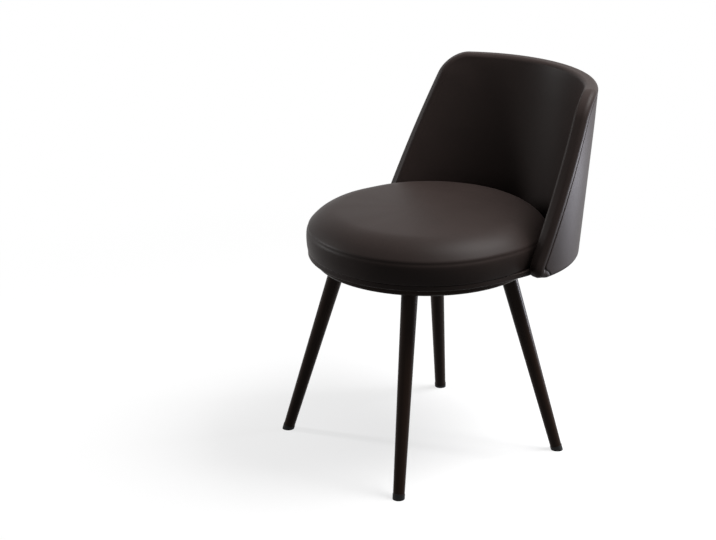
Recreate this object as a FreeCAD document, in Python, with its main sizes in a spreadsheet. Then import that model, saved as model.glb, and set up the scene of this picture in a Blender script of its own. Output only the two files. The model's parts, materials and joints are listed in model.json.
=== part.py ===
"""Swivel dining chair: a crowned round seat in a curved wing back, on a four-legged swivel base.

Millimetres, +Z up. The origin lies on the floor at the swivel axis, and the sitter faces -Y,
so +X is the sitter's left. Every level above the floor is a chain of named thicknesses.
"""
import FreeCAD, Part
import math
import os
import re

import Sketcher

os.makedirs("parts", exist_ok=True)
doc = FreeCAD.newDocument("swivel_dining_chair")
Vector = FreeCAD.Vector
Z_AXIS = Vector(0, 0, 1)
# Volume in cubic millimetres under which a pocket counts as cutting nothing
LEAST_CUT = 0.01

# Driving dimensions
SIZES = (
    ("leg_height", 380.6, "floor to the underside of the base dish"),
    ("foot_radius", 272.5, "swivel axis to the middle of a foot, on the floor"),
    ("leg_top_width", 32.0, "leg tube diameter at the dish"),
    ("leg_foot_width", 22.0, "leg tube diameter at the floor"),
    ("leg_wall", 1.6, "leg tube wall"),
    ("glide_height", 9.0, "length of the glide below the tube's end, along the leg"),
    ("glide_lip", 0.6, "how far the glide's head stands out round the tube"),
    ("glide_plug", 18.0, "length of the glide's plug inside the tube"),
    ("flange_width", 64.0, "side of the square plate welded to a leg"),
    ("flange_sheet", 3.0, "thickness of that plate"),
    ("flange_pitch", 46.0, "hole spacing of that plate"),
    ("flange_corner", 8.0, "corner radius of that plate"),
    ("flange_margin", 17.0, "outer edge of that plate to the outside of the dish"),
    ("dish_radius", 209.0, "outer radius of the pressed dish"),
    ("dish_sheet", 2.0, "sheet thickness of the dish"),
    ("dish_depth", 12.8, "underside of the dish to the top of its rim"),
    ("dish_corner", 5.0, "outer radius where the floor turns up into the rim"),
    ("swivel_height", 13.8, "both swivel plates, face to face"),
    ("plate_width", 150.0, "side of a swivel plate"),
    ("plate_sheet", 2.5, "sheet thickness of a swivel plate"),
    ("plate_corner", 12.0, "corner radius of a swivel plate"),
    ("lower_pitch", 130.0, "hole spacing of the lower swivel plate"),
    ("upper_pitch", 110.0, "hole spacing of the upper swivel plate"),
    ("race_radius", 50.0, "swivel axis to the middle of a ball"),
    ("race_width", 13.0, "width of a ball race"),
    ("race_gap", 2.4, "height left open between the two races"),
    ("ball_radius", 3.0, "radius of a ball"),
    ("ball_ease", 0.1, "groove radius over ball radius in the lower race"),
    ("turning_gap", 0.3, "least gap between the turning seat and the base"),
    ("cage_sheet", 1.0, "thickness of the ball cage"),
    ("pin_radius", 10.0, "centre pin shank"),
    ("pin_head", 15.0, "radius of the pin's heads"),
    ("pin_head_height", 2.0, "thickness of the pin's heads"),
    ("running_fit", 0.05, "radial clearance of the pin in the upper plate"),
    ("bore_ease", 5.0, "how much wider than the pin's head the bores round it are"),
    ("screw_radius", 3.0, "shank of every screw"),
    ("hole_ease", 0.3, "radial clearance of a screw hole"),
    ("head_radius", 5.5, "radius of a screw head"),
    ("head_height", 3.0, "thickness of a screw head"),
    ("nut_flats", 10.0, "width of a nut across its flats"),
    ("nut_height", 5.0, "thickness of a nut"),
    ("thread_ease", 0.05, "radial gap drawn between a screw and its nut"),
    ("tee_flange", 9.0, "flange radius of a tee nut"),
    ("tee_sheet", 1.4, "flange thickness of a tee nut"),
    ("tee_barrel", 4.2, "barrel radius of a tee nut"),
    ("tee_length", 7.5, "overall length of a tee nut"),
    ("board_sheet", 9.0, "thickness of the plywood seat board"),
    ("board_gap", 1.8, "wrapped board edge to the inside of the back"),
    ("wrap_sheet", 1.0, "thickness of the leather wrapped round the board"),
    ("wrap_turn", 15.0, "width of that leather turned in under the board"),
    ("cloth_sheet", 0.6, "thickness of the dust cloth"),
    ("seat_radius", 225.0, "plan radius of the cushion at its seam"),
    ("seat_stretch", 20.0, "length of the cushion's straight sides"),
    ("side_height", 42.1, "board to the cushion's seam"),
    ("side_curve", 125.0, "radius of the bulge of the cushion's side, seen in section"),
    ("side_draw", 1.5, "how far the side draws in at the board"),
    ("crown_rise", 36.5, "seam to the level where the shoulder ends"),
    ("crown_width", 60.0, "width of the rounded shoulder"),
    ("crown_swell", 1.0, "rise of the middle of the cushion above its shoulder"),
    ("cover_sheet", 1.2, "thickness of leather with its backing"),
    ("cover_ease", 0.3, "gap drawn between a cover and its foam"),
    ("back_drop", 2.4, "how far the back reaches below the seat board"),
    ("back_height", 330.0, "height of the back"),
    ("back_nip", 0.3, "how much tighter than the cushion the back is inside, at its lower edge"),
    ("back_setback", 39.9, "centre of the cushion's rear arc to the centre of the back"),
    ("back_recline", 25.9, "how far that centre moves rearwards over the back's height"),
    ("back_spread", 6.8, "growth of the back's radius over its height"),
    ("back_thick", 28.0, "thickness of the padded back"),
    ("wing_edge", 67.7, "swivel axis to the front edge of a wing, at its lower end"),
    ("wing_lean", 23.75, "lean of that front edge from upright, in degrees"),
    ("wing_corner", 42.0, "radius of a wing's upper corner, seen from the side"),
    ("back_hem", 4.0, "radius of the back's lower edge"),
    ("core_sheet", 8.0, "thickness of the plywood inside the back"),
    ("edge_roll", 16.0, "width of the padded roll round the edges, to the outer seam"),
    ("seam_gap", 0.4, "gap along the outer seam"),
    ("layer_gap", 0.3, "gap drawn between the layers of the back"),
    ("bracket_sheet", 3.0, "thickness of a back bracket"),
    ("bracket_width", 38.0, "width of a back bracket"),
    ("bracket_clearance", 2.9, "cushion to the end of an outer bracket's foot"),
    ("bracket_rise", 52.0, "height of a bracket's upright"),
    ("bracket_bend", 5.0, "outer radius of a bracket's bend"),
    ("bracket_pitch", 22.0, "spacing of a bracket's screws"),
    ("bracket_angle", 45.0, "angle between neighbouring brackets, in degrees"),
)

# Levels and radii worked out from them
LEVELS = (
    ("leg_top_radius", "dish_radius - flange_margin - flange_width / 2",
     "swivel axis to a leg's centre line at the dish"),
    ("dish_top", "leg_height + dish_sheet", "top of the dish's floor"),
    ("board_low", "dish_top + swivel_height", "underside of the seat board"),
    ("board_top", "board_low + board_sheet", "top of the seat board"),
    ("seam_level", "board_top + side_height", "seam of the cushion"),
    ("shoulder_level", "seam_level + crown_rise", "end of the cushion's shoulder"),
    ("crown_level", "shoulder_level + crown_swell", "top of the cushion"),
    ("ball_level", "dish_top + swivel_height / 2", "middle of the balls"),
    ("leg_slope", "(foot_radius - leg_top_radius) / leg_height", "tangent of the splay"),
    ("leg_length", "leg_height * sqrt(1 + leg_slope * leg_slope)", "floor to dish along a leg"),
    ("foot_rad", "leg_foot_width / 2", "outer radius of a leg at the floor"),
    ("leg_taper", "(leg_top_width / 2 - foot_rad) / leg_length", "radius gained per length"),
    ("back_low", "board_low - back_drop", "lower edge of the back"),
    ("back_radius", "seat_radius - back_nip + back_thick / 2",
     "radius of the back's middle surface at its lower edge"),
    ("back_centre", "seat_stretch + back_setback", "swivel axis to the centre of that radius"),
    ("recline_rate", "back_recline / back_height", "rearward shift of the back per height"),
    ("spread_rate", "back_spread / back_height", "growth of the back's radius per height"),
    ("board_shift", "back_centre + back_drop * recline_rate", "centre of the board's rear arc"),
    ("back_inside", "back_radius + back_drop * spread_rate - back_thick / 2",
     "inside of the back, level with the board's underside"),
    ("wrap_radius", "back_inside - board_gap", "outside of the wrapped board"),
    ("board_radius", "wrap_radius - wrap_sheet", "plan radius of the board"),
    ("bore_radius", "pin_head + bore_ease", "bores of the dish and the board"),
    ("hole_radius", "screw_radius + hole_ease", "screw hole"),
    ("cover_depth", "cover_sheet + cover_ease", "outside of a cover to its foam"),
    ("bracket_bow",
     "back_radius - sqrt(back_radius * back_radius - bracket_width * bracket_width / 4) "
     "+ 2 * layer_gap",
     "gap between the round core and the middle of a flat upright"),
    ("heel_centre", "back_centre + (board_top - back_low) * recline_rate",
     "centre of the back's middle surface, level with the board's top"),
    ("heel_radius", "back_radius + (board_top - back_low) * spread_rate - bracket_bow",
     "that centre to a bracket's heel"),
    ("bracket_foot",
     "heel_radius + (heel_centre - seat_stretch) * cos(bracket_angle) "
     "- seat_radius - bracket_clearance",
     "length of a bracket's foot, short of the cushion"),
    ("foot_hole", "bracket_foot - 1.6 * head_radius", "heel to the holes of a bracket's foot"),
    ("upright_hole", "0.68 * bracket_rise", "board to the holes of a bracket's upright"),
    ("tee_seat", "bracket_bow + core_sheet - 4 * layer_gap",
     "upright's outer face to the outside of a tee nut in the core"),
)

sheet = doc.addObject("Spreadsheet::Sheet", "Sizes")
for row, (alias, number, note) in enumerate(SIZES, 1):
    sheet.set(f"A{row}", note)
    sheet.set(f"B{row}", str(number))
    sheet.setAlias(f"B{row}", alias)
for row, (alias, formula, note) in enumerate(LEVELS, len(SIZES) + 1):
    sheet.set(f"A{row}", note)
    sheet.set(f"B{row}", "=" + formula)
    sheet.setAlias(f"B{row}", alias)
doc.recompute()

ALIASES = [entry[0] for entry in SIZES + LEVELS]
ALIAS_PATTERN = re.compile(r"\b(" + "|".join(ALIASES) + r")\b")

# Nodes of the finished chair, each an object of the document
nodes = []


def value(expression):
    """The number that an expression of the sheet's names comes to."""
    return float(sheet.evalExpression(str(expression)))


def linked(expression):
    """The same expression as another object of the document writes it."""
    return ALIAS_PATTERN.sub(r"Sizes.\1", str(expression))


def bind(target, **properties):
    """Tie properties of an object to expressions of the sheet."""
    for name, expression in properties.items():
        target.setExpression(name, linked(expression))


def node(target, label):
    """Name an object as one piece of the chair."""
    target.Label = label
    nodes.append(target)
    return target


# Sketches and features


def new_body(name):
    return doc.addObject("PartDesign::Body", name)


def plane_of(body, role):
    return next(part for part in body.Origin.OriginFeatures if part.Role == role)


def new_sketch(body, name, role, level="0", turn=0):
    """A sketch on one of the body's own planes, lifted to a level and turned about its normal."""
    sketch = body.newObject("Sketcher::SketchObject", name)
    sketch.AttachmentSupport = [(plane_of(body, role), "")]
    sketch.MapMode = "FlatFace"
    spin = FreeCAD.Rotation(Z_AXIS, turn)
    sketch.AttachmentOffset = FreeCAD.Placement(Vector(0, 0, value(level)), spin)
    sketch.setExpression("AttachmentOffset.Base.z", linked(level))
    return sketch


def hold(sketch, geometry, position, x, y):
    """Fix one point of a sketch at a pair of expressions."""
    for kind, expression, axis in (("DistanceX", x, -2), ("DistanceY", y, -1)):
        if expression == "0":
            sketch.addConstraint(Sketcher.Constraint("PointOnObject", geometry, position, axis))
            continue
        rule = Sketcher.Constraint(kind, -1, 1, geometry, position, value(expression))
        index = sketch.addConstraint(rule)
        sketch.setExpression(f"Constraints[{index}]", linked(expression))


def arc_between(start, finish, radius, side):
    """Arc of under a half circle. Its centre lies left of the way there for side 1, right for -1."""
    chord = finish - start
    half = chord.Length / 2
    reach = math.sqrt(max(radius * radius - half * half, 0))
    normal = Vector(-chord.y, chord.x, 0).normalize()
    centre = start + chord / 2 + normal * reach * side
    low, high = (start, finish) if side > 0 else (finish, start)
    angles = [math.atan2(point.y - centre.y, point.x - centre.x) for point in (low, high)]
    if angles[1] < angles[0]:
        angles[1] += 2 * math.pi
    return Part.ArcOfCircle(Part.Circle(centre, Z_AXIS, radius), angles[0], angles[1])


def outline(sketch, corners):
    """Closed outline through corners (x, y), or (x, y, radius, side) where an arc leaves one."""
    points = [Vector(value(corner[0]), value(corner[1]), 0) for corner in corners]
    edges = []
    for index, corner in enumerate(corners):
        start, finish = points[index], points[(index + 1) % len(points)]
        if len(corner) == 2:
            geometry = sketch.addGeometry(Part.LineSegment(start, finish))
            edges.append((geometry, 1, 2))
            continue
        radius, side = corner[2:]
        geometry = sketch.addGeometry(arc_between(start, finish, value(radius), side))
        edges.append((geometry, 1, 2) if side > 0 else (geometry, 2, 1))
        rule = Sketcher.Constraint("Radius", geometry, value(radius))
        sketch.setExpression(f"Constraints[{sketch.addConstraint(rule)}]", linked(radius))
    for index, (geometry, first, _) in enumerate(edges):
        before, _, last = edges[index - 1]
        sketch.addConstraint(Sketcher.Constraint("Coincident", before, last, geometry, first))
        hold(sketch, geometry, first, corners[index][0], corners[index][1])


def circles(sketch, centres, radius):
    """Circles of one radius about pairs of expressions."""
    for x, y in centres:
        middle = Vector(value(x), value(y), 0)
        geometry = sketch.addGeometry(Part.Circle(middle, Z_AXIS, value(radius)))
        rule = Sketcher.Constraint("Radius", geometry, value(radius))
        sketch.setExpression(f"Constraints[{sketch.addConstraint(rule)}]", linked(radius))
        hold(sketch, geometry, 3, x, y)


def square_corners(half, x="0", y="0"):
    """Four corners of a square about a point."""
    return [(f"{x} + {i} * ({half})", f"{y} + {j} * ({half})")
            for i, j in ((-1, -1), (1, -1), (1, 1), (-1, 1))]


def pad(body, sketch, length, reverse=False):
    feature = body.newObject("PartDesign::Pad", "Pad")
    feature.Profile = sketch
    feature.Reversed = reverse
    bind(feature, Length=length)
    doc.recompute()
    return feature


def revolve(body, sketch, angle=360, reverse=False):
    feature = body.newObject("PartDesign::Revolution", "Revolution")
    feature.Profile = sketch
    feature.ReferenceAxis = (sketch, ["V_Axis"])
    feature.Angle = angle
    feature.Reversed = reverse
    doc.recompute()
    return feature


def cut(body, sketch, depth="", reverse=False):
    """Pocket a sketch, through everything or to a depth, and make sure that it removes material."""
    before = body.Shape.Volume
    feature = body.newObject("PartDesign::Pocket", "Pocket")
    feature.Profile = sketch
    feature.Reversed = reverse
    if depth:
        bind(feature, Length=depth)
    else:
        feature.Type = "ThroughAll"
    doc.recompute()
    if body.Shape.Volume > before - LEAST_CUT:
        feature.Reversed = not reverse
        doc.recompute()
    if body.Shape.Volume > before - LEAST_CUT:
        raise RuntimeError(f"a pocket of {body.Label} cuts nothing")
    return feature


def repeat(body, feature, count):
    """Polar pattern of a feature about the body's Z axis."""
    pattern = body.newObject("PartDesign::PolarPattern", "PolarPattern")
    pattern.Originals = [feature]
    axis = next(part for part in body.Origin.OriginFeatures if part.Role == "Z_Axis")
    pattern.Axis = (axis, [""])
    pattern.Angle = 360
    pattern.Occurrences = count
    body.Tip = pattern
    doc.recompute()
    return pattern


def round_edges(body, radius, chosen):
    """Fillet the edges that a test picks."""
    base = body.Tip
    names = [f"Edge{i}" for i, edge in enumerate(base.Shape.Edges, 1) if chosen(edge)]
    feature = body.newObject("PartDesign::Fillet", "Fillet")
    feature.Base = (base, names)
    bind(feature, Radius=radius)
    doc.recompute()
    return feature


def is_upright(edge):
    low, high = edge.BoundBox.ZMin, edge.BoundBox.ZMax
    return high - low > 1 and edge.BoundBox.XLength < 1e-6 and edge.BoundBox.YLength < 1e-6


def turned(name, corners):
    """Body of revolution about the Z axis from a section of (radius, height) corners."""
    body = new_body(name)
    sketch = new_sketch(body, name + "_section", "XZ_Plane")
    outline(sketch, corners)
    revolve(body, sketch)
    return body


def stadium(name, corners, stretch):
    """One section carried round a plan of two half circles joined by straight sides."""
    body = new_body(name)
    front = new_sketch(body, name + "_front", "XZ_Plane")
    outline(front, corners)
    revolve(body, front, 180, reverse=True)
    side = pad(body, front, stretch, reverse=True)
    mirror = body.newObject("PartDesign::Mirrored", "Mirrored")
    mirror.Originals = [side]
    mirror.MirrorPlane = (plane_of(body, "YZ_Plane"), [""])
    body.Tip = mirror
    rear = new_sketch(body, name + "_rear", "XZ_Plane", f"-({stretch})")
    outline(rear, corners)
    revolve(body, rear, 180)
    return body


# Base


def part_box(name, size, place):
    """Box with its size and its low corner given as expressions."""
    box = doc.addObject("Part::Box", name)
    bind(box, Length=size[0], Width=size[1], Height=size[2])
    for axis, expression in zip("xyz", place):
        box.setExpression(f"Placement.Base.{axis}", linked(expression))
    return box


def leg_cone(name, start, finish, inset):
    """Cone round a leg's centre line between two distances from the floor, in the plane Y = 0."""
    cone = doc.addObject("Part::Cone", name)
    radius = "foot_rad + leg_taper * ({}) - ({})"
    bind(cone, Radius1=radius.format(start, inset), Radius2=radius.format(finish, inset))
    bind(cone, Height=f"({finish}) - ({start})")
    lean = FreeCAD.Rotation(Vector(0, -1, 0), math.degrees(math.atan(value("leg_slope"))))
    cone.Placement = FreeCAD.Placement(Vector(0, 0, 0), lean)
    run = "sqrt(1 + leg_slope * leg_slope)"
    cone.setExpression("Placement.Base.x",
                       linked(f"foot_radius - ({start}) * leg_slope / {run}"))
    cone.setExpression("Placement.Base.z", linked(f"({start}) / {run}"))
    cone.setExpression("Placement.Rotation.Angle", linked("atan(leg_slope)"))
    return cone


def boolean(kind, name, base, tool):
    result = doc.addObject("Part::" + kind, name)
    result.Base = base
    result.Tool = tool
    return result


def at_corner(target, azimuth):
    """Turn a piece drawn in the plane Y = 0 to its corner of the base."""
    target.Placement = FreeCAD.Placement(Vector(0, 0, 0), FreeCAD.Rotation(Z_AXIS, azimuth))
    return target


CORNERS = (("front_left", -45), ("front_right", -135), ("rear_left", 45), ("rear_right", 135))
FLANGE_HOLES = [(f"leg_top_radius + {i} * flange_pitch / 2", f"{j} * flange_pitch / 2")
                for i in (-1, 1) for j in (-1, 1)]


def base_dish():
    """Pressed steel dish, its floor pierced for the legs and the swivel."""
    inner = "dish_corner - dish_sheet"
    body = turned("base_dish", [
        ("bore_radius", "leg_height"),
        ("dish_radius - dish_corner", "leg_height", "dish_corner", 1),
        ("dish_radius", "leg_height + dish_corner"),
        ("dish_radius", "leg_height + dish_depth"),
        ("dish_radius - dish_sheet", "leg_height + dish_depth"),
        ("dish_radius - dish_sheet", "leg_height + dish_corner", inner, -1),
        ("dish_radius - dish_corner", "dish_top"),
        ("bore_radius", "dish_top"),
    ])
    legs = new_sketch(body, "leg_holes", "XY_Plane", "dish_top", turn=45)
    circles(legs, FLANGE_HOLES, "hole_radius")
    repeat(body, cut(body, legs, "dish_sheet"), 4)
    swivel = new_sketch(body, "swivel_hole", "XY_Plane", "dish_top")
    circles(swivel, [("lower_pitch / 2", "lower_pitch / 2")], "hole_radius")
    repeat(body, cut(body, swivel, "dish_sheet"), 4)
    return node(body, "base_dish")


def leg(corner, azimuth):
    """Tapered tube, cut level at the top and welded to its square plate."""
    far = "leg_length + leg_top_width"
    outside = leg_cone(f"leg_outside_{corner}", "glide_height", far, "0")
    inside = leg_cone(f"leg_inside_{corner}", "0", f"{far} + leg_top_width", "leg_wall")
    tube = boolean("Cut", f"leg_tube_{corner}", outside, inside)
    below = part_box(f"leg_room_{corner}",
                     ("foot_radius + leg_top_width", "2 * leg_top_width",
                      "leg_height - flange_sheet"),
                     ("0", "-leg_top_width", "0"))
    trimmed = boolean("Common", f"leg_trimmed_{corner}", tube, below)
    plate = new_body(f"leg_plate_{corner}")
    face = new_sketch(plate, f"leg_plate_face_{corner}", "XY_Plane", "leg_height")
    outline(face, square_corners("flange_width / 2", x="leg_top_radius"))
    pad(plate, face, "flange_sheet", reverse=True)
    round_edges(plate, "flange_corner", is_upright)
    holes = new_sketch(plate, f"leg_plate_holes_{corner}", "XY_Plane", "leg_height")
    circles(holes, FLANGE_HOLES, "hole_radius")
    cut(plate, holes)
    welded = boolean("Fuse", f"leg_{corner}", trimmed, plate)
    return node(at_corner(welded, azimuth), f"leg_{corner}")


def glide(corner, azimuth):
    """Plastic glide: a head cut level at the floor and a plug up inside the tube."""
    head = leg_cone(f"glide_head_{corner}", "-leg_foot_width / 2", "glide_height", "-glide_lip")
    plug_end = "glide_height + glide_plug"
    plug = leg_cone(f"glide_plug_{corner}", "0", plug_end, "leg_wall + hole_ease / 2")
    whole = boolean("Fuse", f"glide_whole_{corner}", head, plug)
    above = part_box(f"glide_room_{corner}",
                     ("2 * leg_foot_width", "2 * leg_foot_width", plug_end),
                     ("foot_radius - leg_foot_width", "-leg_foot_width", "0"))
    level = boolean("Common", f"glide_{corner}", whole, above)
    return node(at_corner(level, azimuth), f"glide_{corner}")


def swivel_plate(name, face, up, pitch, bore, groove):
    """Square plate with a grooved ball race; up is 1 when its race stands up from it."""
    body = new_body(name)
    flat = new_sketch(body, name + "_face", "XY_Plane", face)
    outline(flat, square_corners("plate_width / 2"))
    pad(body, flat, "plate_sheet", reverse=up > 0)
    round_edges(body, "plate_corner", is_upright)
    race_end = f"ball_level - {up} * race_gap / 2"
    half_mouth = f"sqrt(({groove}) * ({groove}) - race_gap * race_gap / 4)"
    side = -1 if up > 0 else 1
    race = new_sketch(body, name + "_race", "XZ_Plane")
    outline(race, [
        ("race_radius + race_width / 2", face),
        ("race_radius + race_width / 2", race_end),
        (f"race_radius + {half_mouth}", race_end, groove, side),
        (f"race_radius - {half_mouth}", race_end),
        ("race_radius - race_width / 2", race_end),
        ("race_radius - race_width / 2", face),
    ])
    revolve(body, race)
    middle = new_sketch(body, name + "_bore", "XY_Plane", face)
    circles(middle, [("0", "0")], bore)
    cut(body, middle)
    hole = new_sketch(body, name + "_hole", "XY_Plane", face)
    circles(hole, [(f"{pitch} / 2", f"{pitch} / 2")], "hole_radius")
    repeat(body, cut(body, hole), 4)
    return node(body, name)


def swivel_balls(count):
    """Ring of balls that carries the upper plate on the lower one."""
    ball = Part.makeSphere(value("ball_radius"))
    ring = doc.addObject("Part::Feature", "swivel_balls")
    placed = []
    for index in range(count):
        angle = 2 * math.pi * index / count
        radius = value("race_radius")
        centre = Vector(radius * math.cos(angle), radius * math.sin(angle), value("ball_level"))
        placed.append(ball.translated(centre))
    ring.Shape = Part.makeCompound(placed)
    return node(ring, "swivel_balls")


def ball_cage(count):
    """Flat ring that keeps the balls evenly apart."""
    half = "race_width / 2"
    body = turned("ball_cage", [
        (f"race_radius - {half}", "ball_level - cage_sheet / 2"),
        (f"race_radius + {half}", "ball_level - cage_sheet / 2"),
        (f"race_radius + {half}", "ball_level + cage_sheet / 2"),
        (f"race_radius - {half}", "ball_level + cage_sheet / 2"),
    ])
    window = new_sketch(body, "cage_window", "XY_Plane", "ball_level + cage_sheet / 2")
    circles(window, [("race_radius", "0")], "ball_radius + ball_ease")
    repeat(body, cut(body, window), count)
    return node(body, "ball_cage")


def centre_pin():
    """Headed pin that holds the two swivel plates together."""
    head_low = "board_low + turning_gap"
    body = turned("centre_pin", [
        ("0", "dish_top - pin_head_height"),
        ("pin_head", "dish_top - pin_head_height"),
        ("pin_head", "dish_top"),
        ("pin_radius", "dish_top"),
        ("pin_radius", head_low),
        ("pin_head", head_low),
        ("pin_head", f"{head_low} + pin_head_height"),
        ("0", f"{head_low} + pin_head_height"),
    ])
    return node(body, "centre_pin")


# Fasteners: one master of each, drawn about the Z axis, and placed copies of it


def screw_master(name, length):
    """Round-headed screw, its head's face at the origin and its shank upwards."""
    body = turned(name, [
        ("0", "-head_height"),
        ("0.6 * head_radius", "-head_height"),
        ("head_radius", "-0.3 * head_height"),
        ("head_radius", "0"),
        ("screw_radius", "0"),
        ("screw_radius", length),
        ("0", length),
    ])
    socket = new_sketch(body, name + "_socket", "XY_Plane", "-head_height")
    outline(socket, [(f"0.6 * screw_radius * cos({60 * side})",
                      f"0.6 * screw_radius * sin({60 * side})") for side in range(6)])
    cut(body, socket, "0.6 * head_height", reverse=True)
    return body


def nut_master():
    """Hexagon nut resting on the XY plane."""
    prism = doc.addObject("Part::Prism", "nut_hexagon")
    prism.Polygon = 6
    bind(prism, Circumradius="nut_flats / sqrt(3)", Height="nut_height")
    thread = doc.addObject("Part::Cylinder", "nut_thread")
    bind(thread, Radius="screw_radius + thread_ease", Height="nut_height")
    return boolean("Cut", "nut", prism, thread)


def tee_nut_master():
    """Tee nut with its flange on top at the XY plane and its barrel downwards."""
    return turned("tee_nut", [
        ("screw_radius + thread_ease", "0"),
        ("screw_radius + thread_ease", "-tee_length"),
        ("tee_barrel", "-tee_length"),
        ("tee_barrel", "-tee_sheet"),
        ("tee_flange", "-tee_sheet"),
        ("tee_flange", "0"),
    ])


def group(label, master, placements):
    """Identical fasteners as one node of separate solids."""
    doc.recompute()
    copies = []
    for placement in placements:
        copy = master.Shape.copy()
        copy.Placement = placement.multiply(copy.Placement)
        copies.append(copy)
    cluster = doc.addObject("Part::Feature", label)
    cluster.Shape = Part.makeCompound(copies)
    return node(cluster, label)


def spots(pitch, level, turn=0, radius=0, flip=False):
    """Four placements in a square of a pitch, about a point at a radius, turned about Z."""
    over = FreeCAD.Rotation(Vector(1, 0, 0), 180 if flip else 0)
    around = FreeCAD.Placement(Vector(0, 0, 0), FreeCAD.Rotation(Z_AXIS, turn))
    found = []
    for i in (-0.5, 0.5):
        for j in (-0.5, 0.5):
            place = Vector(radius + i * pitch, j * pitch, level)
            found.append(around.multiply(FreeCAD.Placement(place, over)))
    return found


# Seat

# Each bracket of the back and its angle from straight back, towards the sitter's left
BRACKETS = (("left", "bracket_angle"), ("middle", "0"), ("right", "-bracket_angle"))


def shoulder_radius(depth):
    """Radius of the cushion's shoulder, at a depth below its outside."""
    return ("(crown_width * crown_width + crown_rise * crown_rise) / (2 * crown_rise) "
            f"- ({depth})")


def shoulder_foot(depth):
    """Radius in plan where the shoulder, at a depth, meets the level of the seam."""
    drop = f"(({shoulder_radius('0')}) - crown_rise)"
    reach = shoulder_radius(depth)
    return f"seat_radius - crown_width + sqrt(({reach}) * ({reach}) - {drop} * {drop})"


def top_line(depth):
    """Section of the cushion's top from the middle to the seam, outwards."""
    return [
        ("0", f"crown_level - ({depth})"),
        ("seat_radius - crown_width", f"shoulder_level - ({depth})", shoulder_radius(depth), -1),
        (shoulder_foot(depth), "seam_level"),
    ]


def reversed_line(corners):
    """The same line walked the other way, with its arcs turned to match."""
    walked = []
    for index in range(len(corners) - 1, -1, -1):
        here = corners[index]
        arc = corners[index - 1][2:] if index > 0 else ()
        walked.append(here[:2] + ((arc[0], -arc[1]) if arc else ()))
    return walked


def seat_top():
    """Crowned top panel of the cushion's cover."""
    corners = top_line("0") + reversed_line(top_line("cover_sheet"))
    return node(stadium("seat_top", corners, "seat_stretch"), "seat_top")


def seat_side():
    """Side band of the cushion's cover, bulging a little and drawn in at the board."""
    low = "board_top"
    body = stadium("seat_side", [
        ("seat_radius - side_draw", low, "side_curve", 1),
        ("seat_radius", "seam_level - seam_gap"),
        ("seat_radius - cover_sheet", "seam_level - seam_gap", "side_curve - cover_sheet", -1),
        ("seat_radius - side_draw - cover_sheet", low),
    ], "seat_stretch")
    return node(body, "seat_side")


def seat_foam():
    """Foam block that fills the cover."""
    crown = reversed_line(top_line("cover_depth"))
    rise = ("seat_radius - cover_depth - side_draw", "board_top", "side_curve - cover_depth", 1)
    corners = [("0", "board_top"), rise, ("seat_radius - cover_depth", "seam_level - seam_gap")]
    return node(stadium("seat_foam", corners + crown, "seat_stretch"), "seat_foam")


def seat_board():
    """Plywood board, bored over the pin's head and counterbored for its tee nuts."""
    body = stadium("seat_board", [
        ("0", "board_low"),
        ("board_radius", "board_low"),
        ("board_radius", "board_top"),
        ("0", "board_top"),
    ], "board_shift")
    middle = new_sketch(body, "board_bore", "XY_Plane", "board_low")
    circles(middle, [("0", "0")], "bore_radius")
    cut(body, middle, "board_sheet", reverse=True)
    for name, radius, depth in (("board_barrels", "tee_barrel + hole_ease / 2", "board_sheet"),
                                ("board_flanges", "tee_flange + hole_ease", "tee_sheet")):
        holes = new_sketch(body, name, "XY_Plane", "board_top")
        circles(holes, [("upper_pitch / 2", "upper_pitch / 2")], radius)
        repeat(body, cut(body, holes, depth), 4)
    pilots = new_sketch(body, "board_pilots", "XY_Plane", "board_top")
    reach = "(heel_radius - foot_hole)"
    spots = []
    for _, angle in BRACKETS:
        for i in (-0.5, 0.5):
            spots.append((f"{reach} * sin({angle}) + {i} * bracket_pitch * cos({angle})",
                          f"heel_centre + {reach} * cos({angle}) "
                          f"- {i} * bracket_pitch * sin({angle})"))
    circles(pilots, spots, "screw_radius + thread_ease")
    cut(body, pilots, "board_sheet")
    return node(body, "seat_board")


def board_wrap():
    """Leather strip round the board's edge, turned in beneath it."""
    body = stadium("board_wrap", [
        ("wrap_radius - wrap_turn", "board_low - wrap_sheet"),
        ("wrap_radius", "board_low - wrap_sheet"),
        ("wrap_radius", "board_top - layer_gap"),
        ("board_radius", "board_top - layer_gap"),
        ("board_radius", "board_low"),
        ("wrap_radius - wrap_turn", "board_low"),
    ], "board_shift")
    return node(body, "board_wrap")


def dust_cloth():
    """Dust cloth under the board, open round the swivel."""
    edge = "wrap_radius - wrap_turn - 2 * layer_gap"
    body = stadium("dust_cloth", [
        ("0", "board_low - cloth_sheet"),
        (edge, "board_low - cloth_sheet"),
        (edge, "board_low"),
        ("0", "board_low"),
    ], "board_shift")
    opening = new_sketch(body, "cloth_opening", "XY_Plane", "board_low")
    circles(opening, [("0", "0")], "plate_width * 0.75")
    cut(body, opening, "cloth_sheet")
    return node(body, "dust_cloth")


# Back: level sections of a leaning round shell, joined by ruled lofts


def wing_point(centre, radius, angle):
    """Point of a level section at an angle from straight back."""
    return Vector(radius * math.sin(angle), centre.y + radius * math.cos(angle), centre.z)


def arc_edge(centre, radius, start, finish):
    """Arc about a section's centre between two angles."""
    angles = (start, (start + finish) / 2, finish)
    return Part.Arc(*[wing_point(centre, radius, angle) for angle in angles]).toShape()


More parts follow.
